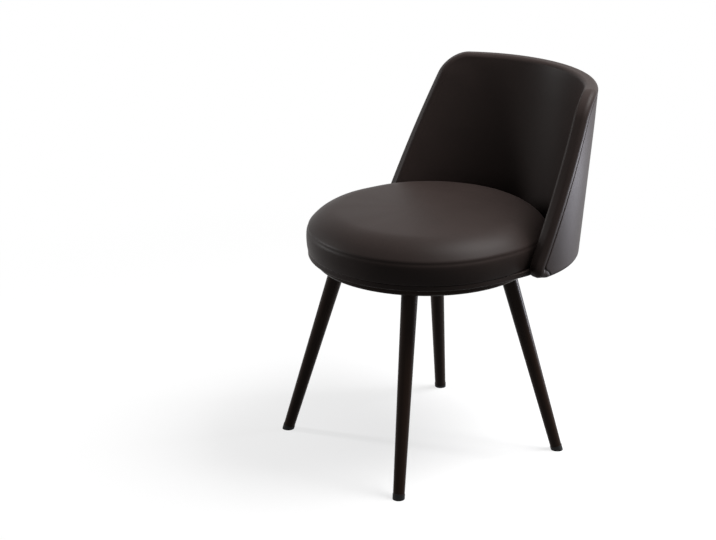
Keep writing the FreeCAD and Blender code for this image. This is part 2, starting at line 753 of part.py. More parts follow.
def back_section(level, inner, outer, inset, rounded):
    """Level section of the back between two offsets from its middle surface.

    inset is the distance kept from the wings' front edges, and rounded ends the section in
    two half rounds instead of square.
    """
    height = level - value("back_low")
    centre = Vector(0, value("back_centre") + value("recline_rate") * height, level)
    middle = value("back_radius") + value("spread_rate") * height
    lean = math.tan(math.radians(value("wing_lean")))
    edge = value("wing_edge") + lean * height
    tip = math.acos((edge - centre.y) / middle) - inset / middle
    edges = []
    if not rounded:
        for side in (-1, 1):
            edges.append(arc_edge(centre, middle + outer, 0, side * tip))
            edges.append(arc_edge(centre, middle + inner, 0, side * tip))
            edges.append(Part.makeLine(wing_point(centre, middle + outer, side * tip),
                                       wing_point(centre, middle + inner, side * tip)))
    else:
        half = (outer - inner) / 2
        axis = middle + (outer + inner) / 2
        end = tip - half / axis
        for side in (-1, 1):
            edges.append(arc_edge(centre, middle + outer, 0, side * end))
            edges.append(arc_edge(centre, middle + inner, 0, side * end))
            hub = wing_point(centre, axis, side * end)
            out = Vector(math.sin(side * end), math.cos(side * end), 0)
            ahead = Vector(side * out.y, -side * out.x, 0)
            slant = (out + ahead).normalize()
            other = (ahead - out).normalize()
            edges.append(Part.Arc(hub + out * half, hub + slant * half,
                                  hub + ahead * half).toShape())
            edges.append(Part.Arc(hub + ahead * half, hub + other * half,
                                  hub - out * half).toShape())
    return Part.Wire(Part.__sortEdges__(edges))


def corner_inset(level, top, radius):
    """How far a wing's rounded upper corner draws back from its front edge at a level."""
    into = max(level - (top - radius), 0)
    return radius - math.sqrt(max(radius * radius - into * into, 0))


def back_layer(inner, outer, low, top, inset, rounded):
    """One layer of the back: lofted through level sections, its upper corners rounded."""
    hem = value("back_hem")
    corner = value("wing_corner") - inset
    half = (outer - inner) / 2
    roll = half if rounded else 0
    levels = []
    if rounded:
        levels += [(low + hem * (1 - math.cos(turn)), hem * (1 - math.sin(turn)))
                   for turn in (0, math.pi / 6, math.pi / 3)]
    start = low + (hem if rounded else 0)
    straight = top - corner
    levels += [(start + (straight - start) * share, 0) for share in (0, 0.35, 0.7, 1)]
    bend = top - roll
    curved = [straight + corner * math.sin(math.radians(turn)) for turn in (20, 38, 53, 67, 78)]
    levels += [(level, 0) for level in curved if level < bend - 1]
    if rounded:
        levels += [(bend + half * math.sin(math.radians(turn)),
                    half * (1 - math.cos(math.radians(turn)))) for turn in (0, 24, 45, 63, 78)]
    else:
        levels.append((top, 0))
    wires = []
    for level, thin in levels:
        drawn = inset + corner_inset(level, top, corner) * 0.98
        wires.append(back_section(level, inner + thin, outer - thin, drawn, rounded))
    return Part.makeLoft(wires, True, True)


def bracket_slope(angle):
    """Rearward lean of the core, per height, where a bracket stands."""
    return f"(spread_rate + recline_rate * cos({angle}))"


def bracket_holes(pitch_at):
    return [(f"{i} * bracket_pitch / 2", pitch_at) for i in (-1, 1)]


def bracket(side, angle):
    """Bent steel angle: a foot on the board and an upright that leans with the core."""
    name = f"back_bracket_{side}"
    body = new_body(name)
    slope = bracket_slope(angle)
    secant = f"sqrt(1 + {slope} * {slope})"
    inner_heel = f"bracket_sheet * ({secant} - {slope})"
    profile = new_sketch(body, name + "_profile", "YZ_Plane", "-bracket_width / 2")
    outline(profile, [
        ("0", "0"),
        (f"{slope} * bracket_rise", "bracket_rise"),
        (f"{slope} * bracket_rise - bracket_sheet * {secant}", "bracket_rise"),
        (f"-({inner_heel})", "bracket_sheet"),
        ("-bracket_foot", "bracket_sheet"),
        ("-bracket_foot", "0"),
    ])
    pad(body, profile, "bracket_width")
    round_edges(body, "bracket_bend", lambda edge: along_x(edge, 0, 0))
    round_edges(body, "bracket_bend - bracket_sheet",
                lambda edge: along_x(edge, -value(inner_heel), value("bracket_sheet")))
    foot = new_sketch(body, name + "_foot_holes", "XY_Plane", "bracket_sheet")
    circles(foot, bracket_holes("-foot_hole"), "hole_radius")
    cut(body, foot, "bracket_sheet")
    upright = new_sketch(body, name + "_upright_holes", "XZ_Plane", "bracket_sheet * 2")
    circles(upright, bracket_holes("upright_hole"), "hole_radius + hole_ease")
    cut(body, upright, "bracket_sheet * 2 + bracket_rise * 0.2")
    body.Placement = heel_placement(angle)
    return node(body, name)


def along_x(edge, y, z):
    """Whether an edge runs along X at a place in the YZ plane."""
    middle = edge.BoundBox.Center
    flat = edge.BoundBox.YLength < 1e-6 and edge.BoundBox.ZLength < 1e-6
    return flat and abs(middle.y - y) < 1e-3 and abs(middle.z - z) < 1e-3


def heel_placement(angle):
    """Where a bracket's heel stands: on the board's level, just inside the core."""
    turn = math.radians(value(angle))
    radius = value("heel_radius")
    place = Vector(radius * math.sin(turn), value("heel_centre") + radius * math.cos(turn),
                   value("board_top"))
    return FreeCAD.Placement(place, FreeCAD.Rotation(Z_AXIS, -value(angle)))


def lean_of(angle):
    """Lean of a bracket's upright from upright, in degrees."""
    return math.degrees(math.atan(value(bracket_slope(angle))))


def foot_spots():
    """Screws of the brackets' feet: their heads' faces, pointing down."""
    down = FreeCAD.Rotation(Vector(1, 0, 0), 180)
    found = []
    for _, angle in BRACKETS:
        for i in (-0.5, 0.5):
            local = Vector(i * value("bracket_pitch"), -value("foot_hole"), value("bracket_sheet"))
            found.append(heel_placement(angle).multiply(FreeCAD.Placement(local, down)))
    return found


def core_spots(slide):
    """Places square to the brackets' uprights at their holes, slid outwards from the upright."""
    along = FreeCAD.Placement(Vector(0, 0, slide), FreeCAD.Rotation())
    found = []
    for _, angle in BRACKETS:
        out = FreeCAD.Rotation(Vector(1, 0, 0), -90 - lean_of(angle))
        height = value("upright_hole")
        for i in (-0.5, 0.5):
            local = Vector(i * value("bracket_pitch"), value(bracket_slope(angle)) * height, height)
            spot = FreeCAD.Placement(local, out).multiply(along)
            found.append(heel_placement(angle).multiply(spot))
    return found


def drill(shape, radius, length, placements):
    """Cut a straight hole along each placement's Z axis."""
    for placement in placements:
        tool = Part.makeCylinder(radius, length)
        tool.Placement = placement
        shape = shape.cut(tool)
    return shape


def back_core():
    """Plywood shell inside the back, drilled and counterbored for the bracket screws."""
    margin = value("edge_roll") + value("layer_gap")
    top = value("back_low") + value("back_height") - margin
    low = value("back_low") + value("back_hem")
    thick = value("core_sheet")
    shell = back_layer(0, thick, low, top, margin, False)
    shell = drill(shell, value("tee_barrel + hole_ease"), 2 * thick, core_spots(0))
    seats = core_spots(value("tee_seat - tee_sheet - thread_ease"))
    shell = drill(shell, value("tee_flange + hole_ease"), thick, seats)
    core = doc.addObject("Part::Feature", "back_core")
    core.Shape = shell
    return node(core, "back_core")


def bracket_rooms():
    """Recesses that hide the uprights behind the inner padding, and slots for the feet."""
    gap = value("layer_gap")
    width = value("bracket_width") + 4 * gap
    below = value("board_top - back_low + back_hem")
    recess = value("bracket_sheet + head_height") + 4 * gap
    rooms = []
    for _, angle in BRACKETS:
        heel = heel_placement(angle)
        slot_height = below + value("bracket_sheet") + 2 * gap
        slot = Part.makeBox(width, value("back_thick") * 2, slot_height,
                            Vector(-width / 2, -value("back_thick"), -below))
        slot.Placement = heel
        upright = Part.makeBox(width, recess + value("bracket_bow") * 2,
                               below + value("bracket_rise") + 2 * gap,
                               Vector(-width / 2, -recess, -below))
        tilt = FreeCAD.Rotation(Vector(1, 0, 0), -lean_of(angle))
        upright.Placement = heel.multiply(FreeCAD.Placement(Vector(0, 0, 0), tilt))
        rooms += [slot, upright]
    return rooms


def back_inner():
    """Inner padding with its leather, rolled round every edge to the outer seam."""
    half = value("back_thick") / 2
    low = value("back_low")
    top = low + value("back_height")
    whole = back_layer(-half, half, low, top, 0, True)
    margin = value("edge_roll")
    recess = back_layer(-value("layer_gap"), half * 2, low - half, top - margin, margin, False)
    shape = whole.cut(recess)
    for room in bracket_rooms():
        shape = shape.cut(room)
    padding = doc.addObject("Part::Feature", "back_inner")
    padding.Shape = shape
    return node(padding, "back_inner")


def back_outer():
    """Outer panel with its leather, set inside the rolled edge."""
    half = value("back_thick") / 2
    margin = value("edge_roll") + value("seam_gap")
    low = value("back_low")
    top = low + value("back_height") - margin
    start = value("core_sheet") + value("layer_gap")
    panel = doc.addObject("Part::Feature", "back_outer")
    panel.Shape = back_layer(start, half, low, top, margin, False)
    return node(panel, "back_outer")


# The chair, piece by piece

BALLS = 8

base_dish()
for corner, azimuth in CORNERS:
    leg(corner, azimuth)
    glide(corner, azimuth)
swivel_plate("swivel_plate_lower", "dish_top + plate_sheet", 1, "lower_pitch", "pin_radius",
             "ball_radius + ball_ease")
swivel_plate("swivel_plate_upper", "board_low - plate_sheet", -1, "upper_pitch",
             "pin_radius + running_fit", "ball_radius + turning_gap")
swivel_balls(BALLS)
ball_cage(BALLS)
centre_pin()

nut = nut_master()
tee_nut = tee_nut_master()
leg_screw = screw_master("leg_screw", "flange_sheet + dish_sheet + nut_height + 1")
plate_screw = screw_master("plate_screw", "dish_sheet + plate_sheet + nut_height + 1")
board_screw = screw_master("board_screw", "plate_sheet + board_sheet - 1")
foot_screw = screw_master("foot_screw", "bracket_sheet + board_sheet - 2")
core_screw = screw_master("core_screw", "bracket_sheet + core_sheet - 1")

flange_low = value("leg_height - flange_sheet")
group("leg_screws", leg_screw,
      [spot for _, azimuth in CORNERS for spot in spots(
          value("flange_pitch"), flange_low, azimuth, value("leg_top_radius"))])
group("leg_nuts", nut,
      [spot for _, azimuth in CORNERS for spot in spots(
          value("flange_pitch"), value("dish_top"), azimuth, value("leg_top_radius"))])
group("plate_screws", plate_screw,
      spots(value("lower_pitch"), value("dish_top + plate_sheet"), flip=True))
group("plate_nuts", nut, spots(value("lower_pitch"), value("leg_height - nut_height")))
group("board_screws", board_screw, spots(value("upper_pitch"), value("board_low - plate_sheet")))
group("board_tee_nuts", tee_nut, spots(value("upper_pitch"), value("board_top")))

seat_board()
board_wrap()
dust_cloth()
seat_foam()
seat_side()
seat_top()

back_core()
back_inner()
back_outer()
for side, angle in BRACKETS:
    bracket(side, angle)
group("bracket_foot_screws", foot_screw, foot_spots())
group("bracket_core_screws", core_screw, core_spots(-value("bracket_sheet + thread_ease")))
group("core_tee_nuts", tee_nut, core_spots(value("tee_seat")))

# Checks and files

doc.recompute()
for item in doc.Objects:
    if "Invalid" in item.State or "Error" in item.State:
        raise RuntimeError(f"{item.Label} failed: {item.State}")
for item in nodes:
    if item.Shape.isNull() or not item.Shape.isValid():
        raise RuntimeError(f"{item.Label} has no valid shape")
for item in nodes:
    item.Shape.exportStep(f"parts/{item.Label}.step")
    print(f"{item.Label}: {len(item.Shape.Solids)} solids, {item.Shape.Volume / 1000:.1f} cm3")
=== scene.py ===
"""Swivel dining chair: leather upholstery, finishes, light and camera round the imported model.

Metres, +Z up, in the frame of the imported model: the origin lies on the floor at the swivel axis
and the sitter faces -Y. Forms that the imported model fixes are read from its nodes' boxes; the
rest are named sizes in millimetres.
"""

import json
import logging
import math
from dataclasses import dataclass
from enum import Enum
from typing import Callable, Sequence

import bmesh
import bpy
import numpy as np
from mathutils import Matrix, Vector
from mathutils.bvhtree import BVHTree

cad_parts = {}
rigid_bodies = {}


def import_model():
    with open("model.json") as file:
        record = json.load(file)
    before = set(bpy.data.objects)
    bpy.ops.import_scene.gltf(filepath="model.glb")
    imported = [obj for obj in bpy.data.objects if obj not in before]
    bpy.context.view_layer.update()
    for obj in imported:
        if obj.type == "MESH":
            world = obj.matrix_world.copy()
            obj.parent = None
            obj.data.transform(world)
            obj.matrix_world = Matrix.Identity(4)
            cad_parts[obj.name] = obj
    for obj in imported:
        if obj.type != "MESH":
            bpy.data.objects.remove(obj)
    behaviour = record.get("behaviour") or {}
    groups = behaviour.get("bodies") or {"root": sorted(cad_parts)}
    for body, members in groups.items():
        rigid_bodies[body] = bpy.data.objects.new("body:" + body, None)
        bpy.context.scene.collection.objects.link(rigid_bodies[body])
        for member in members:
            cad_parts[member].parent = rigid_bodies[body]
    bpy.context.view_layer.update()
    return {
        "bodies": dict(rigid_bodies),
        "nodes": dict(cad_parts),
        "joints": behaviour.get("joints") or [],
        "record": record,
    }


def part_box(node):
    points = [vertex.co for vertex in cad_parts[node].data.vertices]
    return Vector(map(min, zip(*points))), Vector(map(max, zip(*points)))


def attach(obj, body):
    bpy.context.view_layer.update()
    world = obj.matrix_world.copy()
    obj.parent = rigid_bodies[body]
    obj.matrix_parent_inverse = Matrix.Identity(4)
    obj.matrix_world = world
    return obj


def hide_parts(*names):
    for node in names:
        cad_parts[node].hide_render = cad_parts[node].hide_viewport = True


LOG = logging.getLogger("chair")
MM = 0.001
WELD = 0.02 * MM
LEAST_EDGE = 0.005 * MM
Point = tuple[float, float, float]
Face = tuple[int, ...]
Sockets = tuple[bpy.types.NodeSocket, bpy.types.NodeSocket]


# Finishes


class Grain(Enum):
    """Kinds of surface structure that a finish can have."""

    LEATHER = "leather"
    POWDER = "powder"
    PLATED = "plated"
    PLYWOOD = "plywood"
    FOAM = "foam"
    NONWOVEN = "nonwoven"
    MOULDED = "moulded"


@dataclass(frozen=True)
class Finish:
    """One finish of the chair: its colours, its gloss and the real size of its grain."""

    slot: str
    grain: Grain
    light: str
    dark: str
    rough_low: float
    rough_high: float
    grain_mm: float
    depth_mm: float
    metallic: float = 0.0
    specular: float = 0.5
    sheen: float = 0.0


FINISHES = (
    # Polyurethane-coated leather cloth, embossed with a fine pebble grain and pulled taut over
    # foam: matt face on, with a soft sheen at a glancing angle. The pebbles are drawn at 1.4 mm,
    # coarser than the real ones, so that they show.
    Finish("leather", Grain.LEATHER, "#2e2624", "#241e1c", 0.42, 0.52, 1.4, 0.05,
           specular=0.07),
    # Polyurethane block foam, sawn: open cells, fully matt
    Finish("foam", Grain.FOAM, "#d8cfa6", "#c2b88c", 0.9, 1.0, 0.9, 0.25, specular=0.2),
    # Polypropylene felt, needle-punched and bonded in points: fibrous, with a faint sheen
    Finish("dust_cloth", Grain.NONWOVEN, "#1b1b1c", "#101011", 0.85, 0.98, 0.8, 0.08,
           specular=0.2, sheen=0.15),
    # Poplar plywood, rotary cut, sanded and left raw: long fibres, satin
    Finish("plywood", Grain.PLYWOOD, "#c8a377", "#9b7549", 0.55, 0.7, 3.0, 0.06),
    # Epoxy-polyester powder coat on steel, black-brown, satin with a light orange peel
    Finish("frame_paint", Grain.POWDER, "#2a1d16", "#1e140f", 0.3, 0.38, 1.2, 0.02,
           specular=0.06),
    # Electrophoretic primer on folded steel: even, low sheen
    Finish("bracket_paint", Grain.POWDER, "#1a1a1b", "#0f0f10", 0.45, 0.6, 1.0, 0.02),
    # Black-passivated zinc plate on pressed and turned steel: dark, brushed by the drawing
    Finish("plated_steel", Grain.PLATED, "#3b3c3f", "#2a2b2d", 0.34, 0.46, 0.6, 0.01,
           metallic=1.0),
    # Chrome steel, hardened and ground: nearly a mirror
    Finish("ball_steel", Grain.PLATED, "#d4d6d8", "#bcbfc2", 0.08, 0.14, 0.4, 0.002,
           metallic=1.0),
    # Glass-filled nylon, moulded: pale and satin
    Finish("cage_plastic", Grain.MOULDED, "#d9d4c6", "#c4beae", 0.4, 0.5, 0.5, 0.02),
    # Polyethylene, moulded in a spark-eroded tool: fine matt texture
    Finish("glide_plastic", Grain.MOULDED, "#1c1b1b", "#121111", 0.42, 0.55, 0.6, 0.03,
           specular=0.15),
)


def linear_colour(code: str) -> tuple[float, float, float, float]:
    """Convert an sRGB hex code to a linear colour.

    Args:
        code: Colour as "#rrggbb".

    Returns:
        Red, green, blue and alpha between 0 and 1.
    """
    channels = []
    for start in (1, 3, 5):
        share = int(code[start:start + 2], 16) / 255
        channels.append(share / 12.92 if share <= 0.04045 else ((share + 0.055) / 1.055) ** 2.4)
    return (channels[0], channels[1], channels[2], 1.0)


def add_node(tree: bpy.types.NodeTree, kind: str, **values: object) -> bpy.types.Node:
    """Add a shader node, set its own properties and fill or link its inputs.

    Args:
        tree: Node tree of a material or the world.
        kind: Node type without its ShaderNode prefix.
        **values: Node properties by name, and inputs by name with spaces as underscores. A
            socket as a value is linked.

    Returns:
        The new node.
    """
    made = tree.nodes.new("ShaderNode" + kind)
    own = {name: item for name, item in values.items() if hasattr(made, name)}
    for name, item in own.items():
        setattr(made, name, item)
    for name, item in values.items():
        if name in own:
            continue
        socket = made.inputs[name.replace("_", " ")]
        if isinstance(item, bpy.types.NodeSocket):
            tree.links.new(item, socket)
        else:
            socket.default_value = item
    return made


def join(tree: bpy.types.NodeTree, kind: str, first: bpy.types.NodeSocket,
         second: bpy.types.NodeSocket, start: int = 0, **values: object) -> bpy.types.NodeSocket:
    """Add a node that joins two sockets.

    Args:
        tree: Node tree of a material or the world.
        kind: Node type, as for add_node.
        first: Socket linked to the node's first input.
        second: Socket linked to its second input.
        start: Place of the first input among the node's inputs.
        **values: Other values, as for add_node.

    Returns:
        The new node's first output.
    """
    made = add_node(tree, kind, **values)
    tree.links.new(first, made.inputs[start])
    tree.links.new(second, made.inputs[start + 1])
    return made.outputs[0]


@dataclass(frozen=True)
class Structure:
    """Texture nodes of a finish: what drives its tone and gloss, and what its relief."""

    tree: bpy.types.NodeTree
    place: bpy.types.NodeSocket  # surface point in metres
    scale: float  # grains to the metre

    CREASE = 0.18  # width of a leather crease, in grains
    PORES = 2.3  # pores to a leather grain
    PATCHES = 14.0  # drawn patches of the cover to the metre
    PATCH_ROUGHNESS = 0.55
    FLECK = 5  # grains across a fleck of the leather
    FLECK_SHARE = 0.35  # share of the flecks in its tone, beside the patches
    VENEER_STRETCH = (0.08, 1.0, 1.0)  # fibres are drawn 12 times as long as wide
    PLY_SHARE = 0.3  # share of the plies in the plywood's tone
    DRAWN_STRETCH = (0.1, 1.0, 1.0)  # rolling lines are drawn 10 times as long as wide
    CLOUDS = 60.0  # clouds of the plating to the metre
    BOND_JITTER = 0.15  # how far the felt's bonding points stray
    FOAM_CLOUD = 30  # cells across a cloud of the foam
    SKIN_CLOUD = 60  # grains across a cloud of paint or moulded plastic

    def sockets(self, grain: Grain) -> Sockets:
        """Add the nodes of a grain.

        Args:
            grain: Kind of surface structure.

        Returns:
            The sockets for tone and relief.
        """
        makers = {Grain.LEATHER: self.leather, Grain.PLYWOOD: self.plywood,
                  Grain.PLATED: self.plated, Grain.NONWOVEN: self.nonwoven,
                  Grain.FOAM: self.foam}
        return makers.get(grain, self.skin)()

    def noise(self, scale: float, **values: object) -> bpy.types.NodeSocket:
        """Add noise over the surface point, or over another vector, and give its output."""
        values = {"Vector": self.place, "Scale": scale, **values}
        return add_node(self.tree, "TexNoise", **values).outputs["Fac"]

    def leather(self) -> Sockets:
        """Pebble grain with its creases, over soft patches where the cover is drawn.

        Returns:
            The sockets for tone and relief.
        """
        pebbles = add_node(self.tree, "TexVoronoi", Vector=self.place, Scale=self.scale,
                           feature="DISTANCE_TO_EDGE")
        creases = add_node(self.tree, "MapRange", Value=pebbles.outputs["Distance"],
                           From_Max=self.CREASE)
        pores = self.noise(self.scale * self.PORES, Detail=2.0)
        relief = join(self.tree, "Math", creases.outputs["Result"], pores, operation="MULTIPLY")
        patches = self.noise(self.PATCHES, Detail=5.0, Roughness=self.PATCH_ROUGHNESS)
        flecks = self.noise(self.scale / self.FLECK, Detail=3.0)
        tone = join(self.tree, "Mix", patches, flecks, start=2, data_type="FLOAT",
                    Factor=self.FLECK_SHARE)
        return tone, relief

    def plywood(self) -> Sockets:
        """Rotary-cut veneer: long fibres along X, and the glued plies along Z.

        Returns:
            The sockets for tone and relief.
        """
        stretched = add_node(self.tree, "Mapping", Vector=self.place, Scale=self.VENEER_STRETCH)
        fibres = self.noise(self.scale, Vector=stretched.outputs["Vector"], Detail=6.0,
                            Distortion=0.6)
        plies = add_node(self.tree, "TexWave", Vector=self.place, Scale=self.scale / 2,
                         bands_direction="Z", Distortion=0.3)
        tone = join(self.tree, "Mix", fibres, plies.outputs["Fac"], start=2, data_type="FLOAT",
                    Factor=self.PLY_SHARE)
        return tone, fibres

    def plated(self) -> Sockets:
        """Rolled sheet lines under a thin plate, and faint clouding.

        Returns:
            The sockets for tone and relief.
        """
        drawn = add_node(self.tree, "Mapping", Vector=self.place, Scale=self.DRAWN_STRETCH)
        lines = self.noise(self.scale, Vector=drawn.outputs["Vector"], Detail=4.0)
        return self.noise(self.CLOUDS, Detail=3.0), lines

    def nonwoven(self) -> Sockets:
        """Matted fibres pressed together in small square bonding points.

        Returns:
            The sockets for tone and relief.
        """
        bonds = add_node(self.tree, "TexVoronoi", Vector=self.place, Scale=self.scale / 2,
                         distance="CHEBYCHEV", Randomness=self.BOND_JITTER)
        fibres = self.noise(self.scale * 2, Detail=5.0, Distortion=1.2)
        relief = join(self.tree, "Math", bonds.outputs["Distance"], fibres,
                      operation="MULTIPLY")
        return fibres, relief

    def foam(self) -> Sockets:
        """Open cells under a faint clouding."""
        cells = add_node(self.tree, "TexVoronoi", Vector=self.place, Scale=self.scale)
        return self.noise(self.scale / self.FOAM_CLOUD, Detail=3.0), cells.outputs["Distance"]

    def skin(self) -> Sockets:
        """Orange peel or eroded texture of a coat or a moulding, and faint clouding."""
        peel = self.noise(self.scale, Detail=2.0)
        return self.noise(self.scale / self.SKIN_CLOUD, Detail=4.0), peel


class MaterialShop:
    """Makes the chair's materials, one for each finish."""

    RELIEF = 0.6  # share of a finish's depth that its relief shows

    def __init__(self, finishes: Sequence[Finish]) -> None:
        """Make a material of each finish and keep it by the name of its slot."""
        self.made = {finish.slot: self.material(finish) for finish in finishes}

    def material(self, finish: Finish) -> bpy.types.Material:
        """Build one finish as a material.

        Args:
            finish: The finish to build.

        Returns:
            A material with procedural colour, roughness and relief.
        """
        made = bpy.data.materials.new(finish.slot)
        made.use_nodes = True
        tree = made.node_tree
        tree.nodes.clear()
        place = add_node(tree, "TexCoord").outputs["Object"]
        structure = Structure(tree, place, 1 / (finish.grain_mm * MM))
        tone, relief = structure.sockets(finish.grain)
        colour = add_node(tree, "ValToRGB", Fac=tone)
        colour.color_ramp.elements[0].color = linear_colour(finish.dark)
        colour.color_ramp.elements[1].color = linear_colour(finish.light)
        rough = add_node(tree, "MapRange", Value=tone, To_Min=finish.rough_low,
                         To_Max=finish.rough_high)
        bump = add_node(tree, "Bump", Height=relief, Strength=self.RELIEF,
                        Distance=finish.depth_mm * MM)
        shader = add_node(tree, "BsdfPrincipled", Base_Color=colour.outputs["Color"],
                          Roughness=rough.outputs["Result"], Normal=bump.outputs["Normal"],
                          Metallic=finish.metallic, Specular_IOR_Level=finish.specular,
                          Sheen_Weight=finish.sheen)
        add_node(tree, "OutputMaterial", Surface=shader.outputs["BSDF"])
        return made

    def dress(self, target: bpy.types.Object, slot: str) -> None:
        """Give an object one finish of the record.

        Args:
            target: The object to dress.
            slot: Name of the record's material slot.
        """
        target.data.materials.clear()
        target.data.materials.append(self.made[slot])


# Mesh helpers


def mesh_object(name: str, points: Sequence[Point], faces: Sequence[Face]) -> bpy.types.Object:
    """Make a smooth-shaded object from points and faces, joining points that coincide.

    Args:
        name: Object name.
        points: Vertex places in metres.
        faces: Vertex indices of each face.

    Returns:
        The object, linked to the scene, with its normals facing outwards.
    """
    mesh = bpy.data.meshes.new(name)
    mesh.from_pydata([tuple(point) for point in points], [], faces)
    work = bmesh.new()
    work.from_mesh(mesh)
    bmesh.ops.remove_doubles(work, verts=work.verts, dist=WELD)
    bmesh.ops.dissolve_degenerate(work, edges=work.edges, dist=LEAST_EDGE)
    bmesh.ops.recalc_face_normals(work, faces=work.faces)
    for face in work.faces:
        face.smooth = True
    work.to_mesh(mesh)
    work.free()
    made = bpy.data.objects.new(name, mesh)
    bpy.context.scene.collection.objects.link(made)
    return made


def grid_faces(rows: int, columns: int, first: int = 0, closed: bool = False) -> list[Face]:
    """Quads of a grid of points stored row by row.

    Args:
        rows: Number of rows.
        columns: Points in a row.
        first: Index of the grid's first point.
        closed: Whether each row joins its last point to its first.

    Returns:
        The faces as index tuples.
    """
    faces = []
    for row in range(rows - 1):
        for column in range(columns if closed else columns - 1):
            after = (column + 1) % columns
            low, high = first + row * columns, first + (row + 1) * columns
            faces.append((low + column, low + after, high + after, high + column))
    return faces


def smooth_step(share: np.ndarray) -> np.ndarray:
    """Ease from 0 to 1 with level ends, clipped outside."""
    held = np.clip(share, 0.0, 1.0)
    return held * held * (3 - 2 * held)


def half_round(depth: np.ndarray, radius: float) -> np.ndarray:
    """Height of a rounded edge at a depth in from it, full from one radius on."""
    into = np.clip(depth, 0.0, radius)
    return np.sqrt(np.maximum(radius * radius - (radius - into) ** 2, 0.0))


def add_subdivision(target: bpy.types.Object, levels: int = 1) -> None:
    """Add a subdivision surface, the same in view and render.

    Args:
        target: The object to smooth.
        levels: How often each face is divided.
    """
    smoother = target.modifiers.new("subdivision", "SUBSURF")
    smoother.levels = levels
    smoother.render_levels = levels


@dataclass(frozen=True)
class Stuffing:
    """Cloth simulation that fills a sewn cover: how it is remeshed, blown and held back."""

    cap: float  # farthest that the cover may swell
    voxel: float = 5 * MM
    pressure: float = 4.0
    frames: int = 20
    stretch_stiffness: float = 25.0
    bend_stiffness: float = 15.0
    smoothing: int = 30  # rounds of averaging

    LEAST_MOVE = 1e-9
    LEAST_GAP = 1e-5

    def fill(self, target: bpy.types.Object, held: Callable[[np.ndarray], np.ndarray]) -> None:
        """Swell a closed cover and carry the fullness back to its own tidy mesh.

        Args:
            target: The cover, a closed mesh.
            held: Gives each point's hold between 0, free, and 1, sewn or resting.
        """
        trial = bpy.data.objects.new(target.name + "_trial", target.data.copy())
        bpy.context.scene.collection.objects.link(trial)
        remesh = trial.modifiers.new("remesh", "REMESH")
        remesh.mode = "VOXEL"
        remesh.voxel_size = self.voxel
        self.apply(trial)
        points = mesh_points(trial.data)
        weights = held(points)
        group = trial.vertex_groups.new(name="held")
        for index, weight in enumerate(weights):
            group.add([index], float(weight), "REPLACE")
        cloth = trial.modifiers.new("cloth", "CLOTH")
        settings = cloth.settings
        settings.use_pressure = True
        settings.uniform_pressure_force = self.pressure
        settings.effector_weights.gravity = 0
        settings.vertex_group_mass = group.name
        settings.tension_stiffness = self.stretch_stiffness
        settings.compression_stiffness = self.stretch_stiffness
        settings.bending_stiffness = self.bend_stiffness
        cloth.point_cache.frame_start = 1
        cloth.point_cache.frame_end = self.frames
        scene = bpy.context.scene
        for frame in range(1, self.frames + 1):
            scene.frame_set(frame)
        self.apply(trial)
        scene.frame_set(1)
        self.carry_over(trial, target, points, held)
        bpy.data.objects.remove(trial)

    def carry_over(self, trial: bpy.types.Object, target: bpy.types.Object,
                   rest: np.ndarray, held: Callable[[np.ndarray], np.ndarray]) -> None:
        """Move the cover's points as the nearest simulated ones moved, up to the cap.

        Args:
            trial: The simulated cover.
            target: The cover to move.
            rest: Places of the trial's points before the simulation.
            held: Gives each point's hold, as for fill.
        """
        moved = mesh_points(trial.data) - rest
        lengths = np.linalg.norm(moved, axis=1, keepdims=True)
        moved *= np.minimum(1.0, self.cap / np.maximum(lengths, self.LEAST_MOVE))
        still = trial.data.copy()
        still.vertices.foreach_set("co", rest.ravel())
        work = bmesh.new()
        work.from_mesh(still)
        bmesh.ops.triangulate(work, faces=work.faces)
        work.verts.ensure_lookup_table()
        work.faces.ensure_lookup_table()
        tree = BVHTree.FromBMesh(work)
        corners = [[vertex.index for vertex in face.verts] for face in work.faces]
        work.free()
        points = mesh_points(target.data)
        shift = np.zeros_like(points)
        for index, point in enumerate(points):
            place, _, face, _ = tree.find_nearest(Vector(point))
            if face is None:
                continue
            near = corners[face]
            gaps = np.linalg.norm(rest[near] - np.array(place), axis=1)
            share = 1 / (gaps + self.LEAST_GAP)
            shift[index] = (moved[near] * share[:, None]).sum(axis=0) / share.sum()
        shift = self.even_out(target.data, shift)
        points += shift * (1 - held(points))[:, None]
        target.data.vertices.foreach_set("co", points.ravel())
        target.data.update()

    def even_out(self, mesh: bpy.types.Mesh, shift: np.ndarray) -> np.ndarray:
        """Average the moves of neighbouring points, so that small puckers go.

        Args:
            mesh: Mesh that the moves belong to.
            shift: One move for each of its points.

        Returns:
            The evened moves.
        """
        pairs = np.empty(len(mesh.edges) * 2, dtype=np.int32)
        mesh.edges.foreach_get("vertices", pairs)
        first, second = pairs.reshape(-1, 2).T
        count = np.bincount(pairs, minlength=len(shift))[:, None] + 1.0
        for _ in range(self.smoothing):
            total = shift.copy()
            np.add.at(total, first, shift[second])
            np.add.at(total, second, shift[first])
            shift = total / count
        return shift

    def apply(self, target: bpy.types.Object) -> None:
        """Replace an object's mesh by its modified form and drop the modifiers.

        Args:
            target: The object to bake.
        """
        graph = bpy.context.evaluated_depsgraph_get()
        graph.update()
        final = bpy.data.meshes.new_from_object(target.evaluated_get(graph))
        target.modifiers.clear()
        target.data = final


def mesh_points(mesh: bpy.types.Mesh) -> np.ndarray:
    """Read all vertex places of a mesh.

    Args:
        mesh: The mesh to read.

    Returns:
        One row for each vertex, in metres.
    """
    flat = np.empty(len(mesh.vertices) * 3)
    mesh.vertices.foreach_get("co", flat)
    return flat.reshape(-1, 3)


# Seat


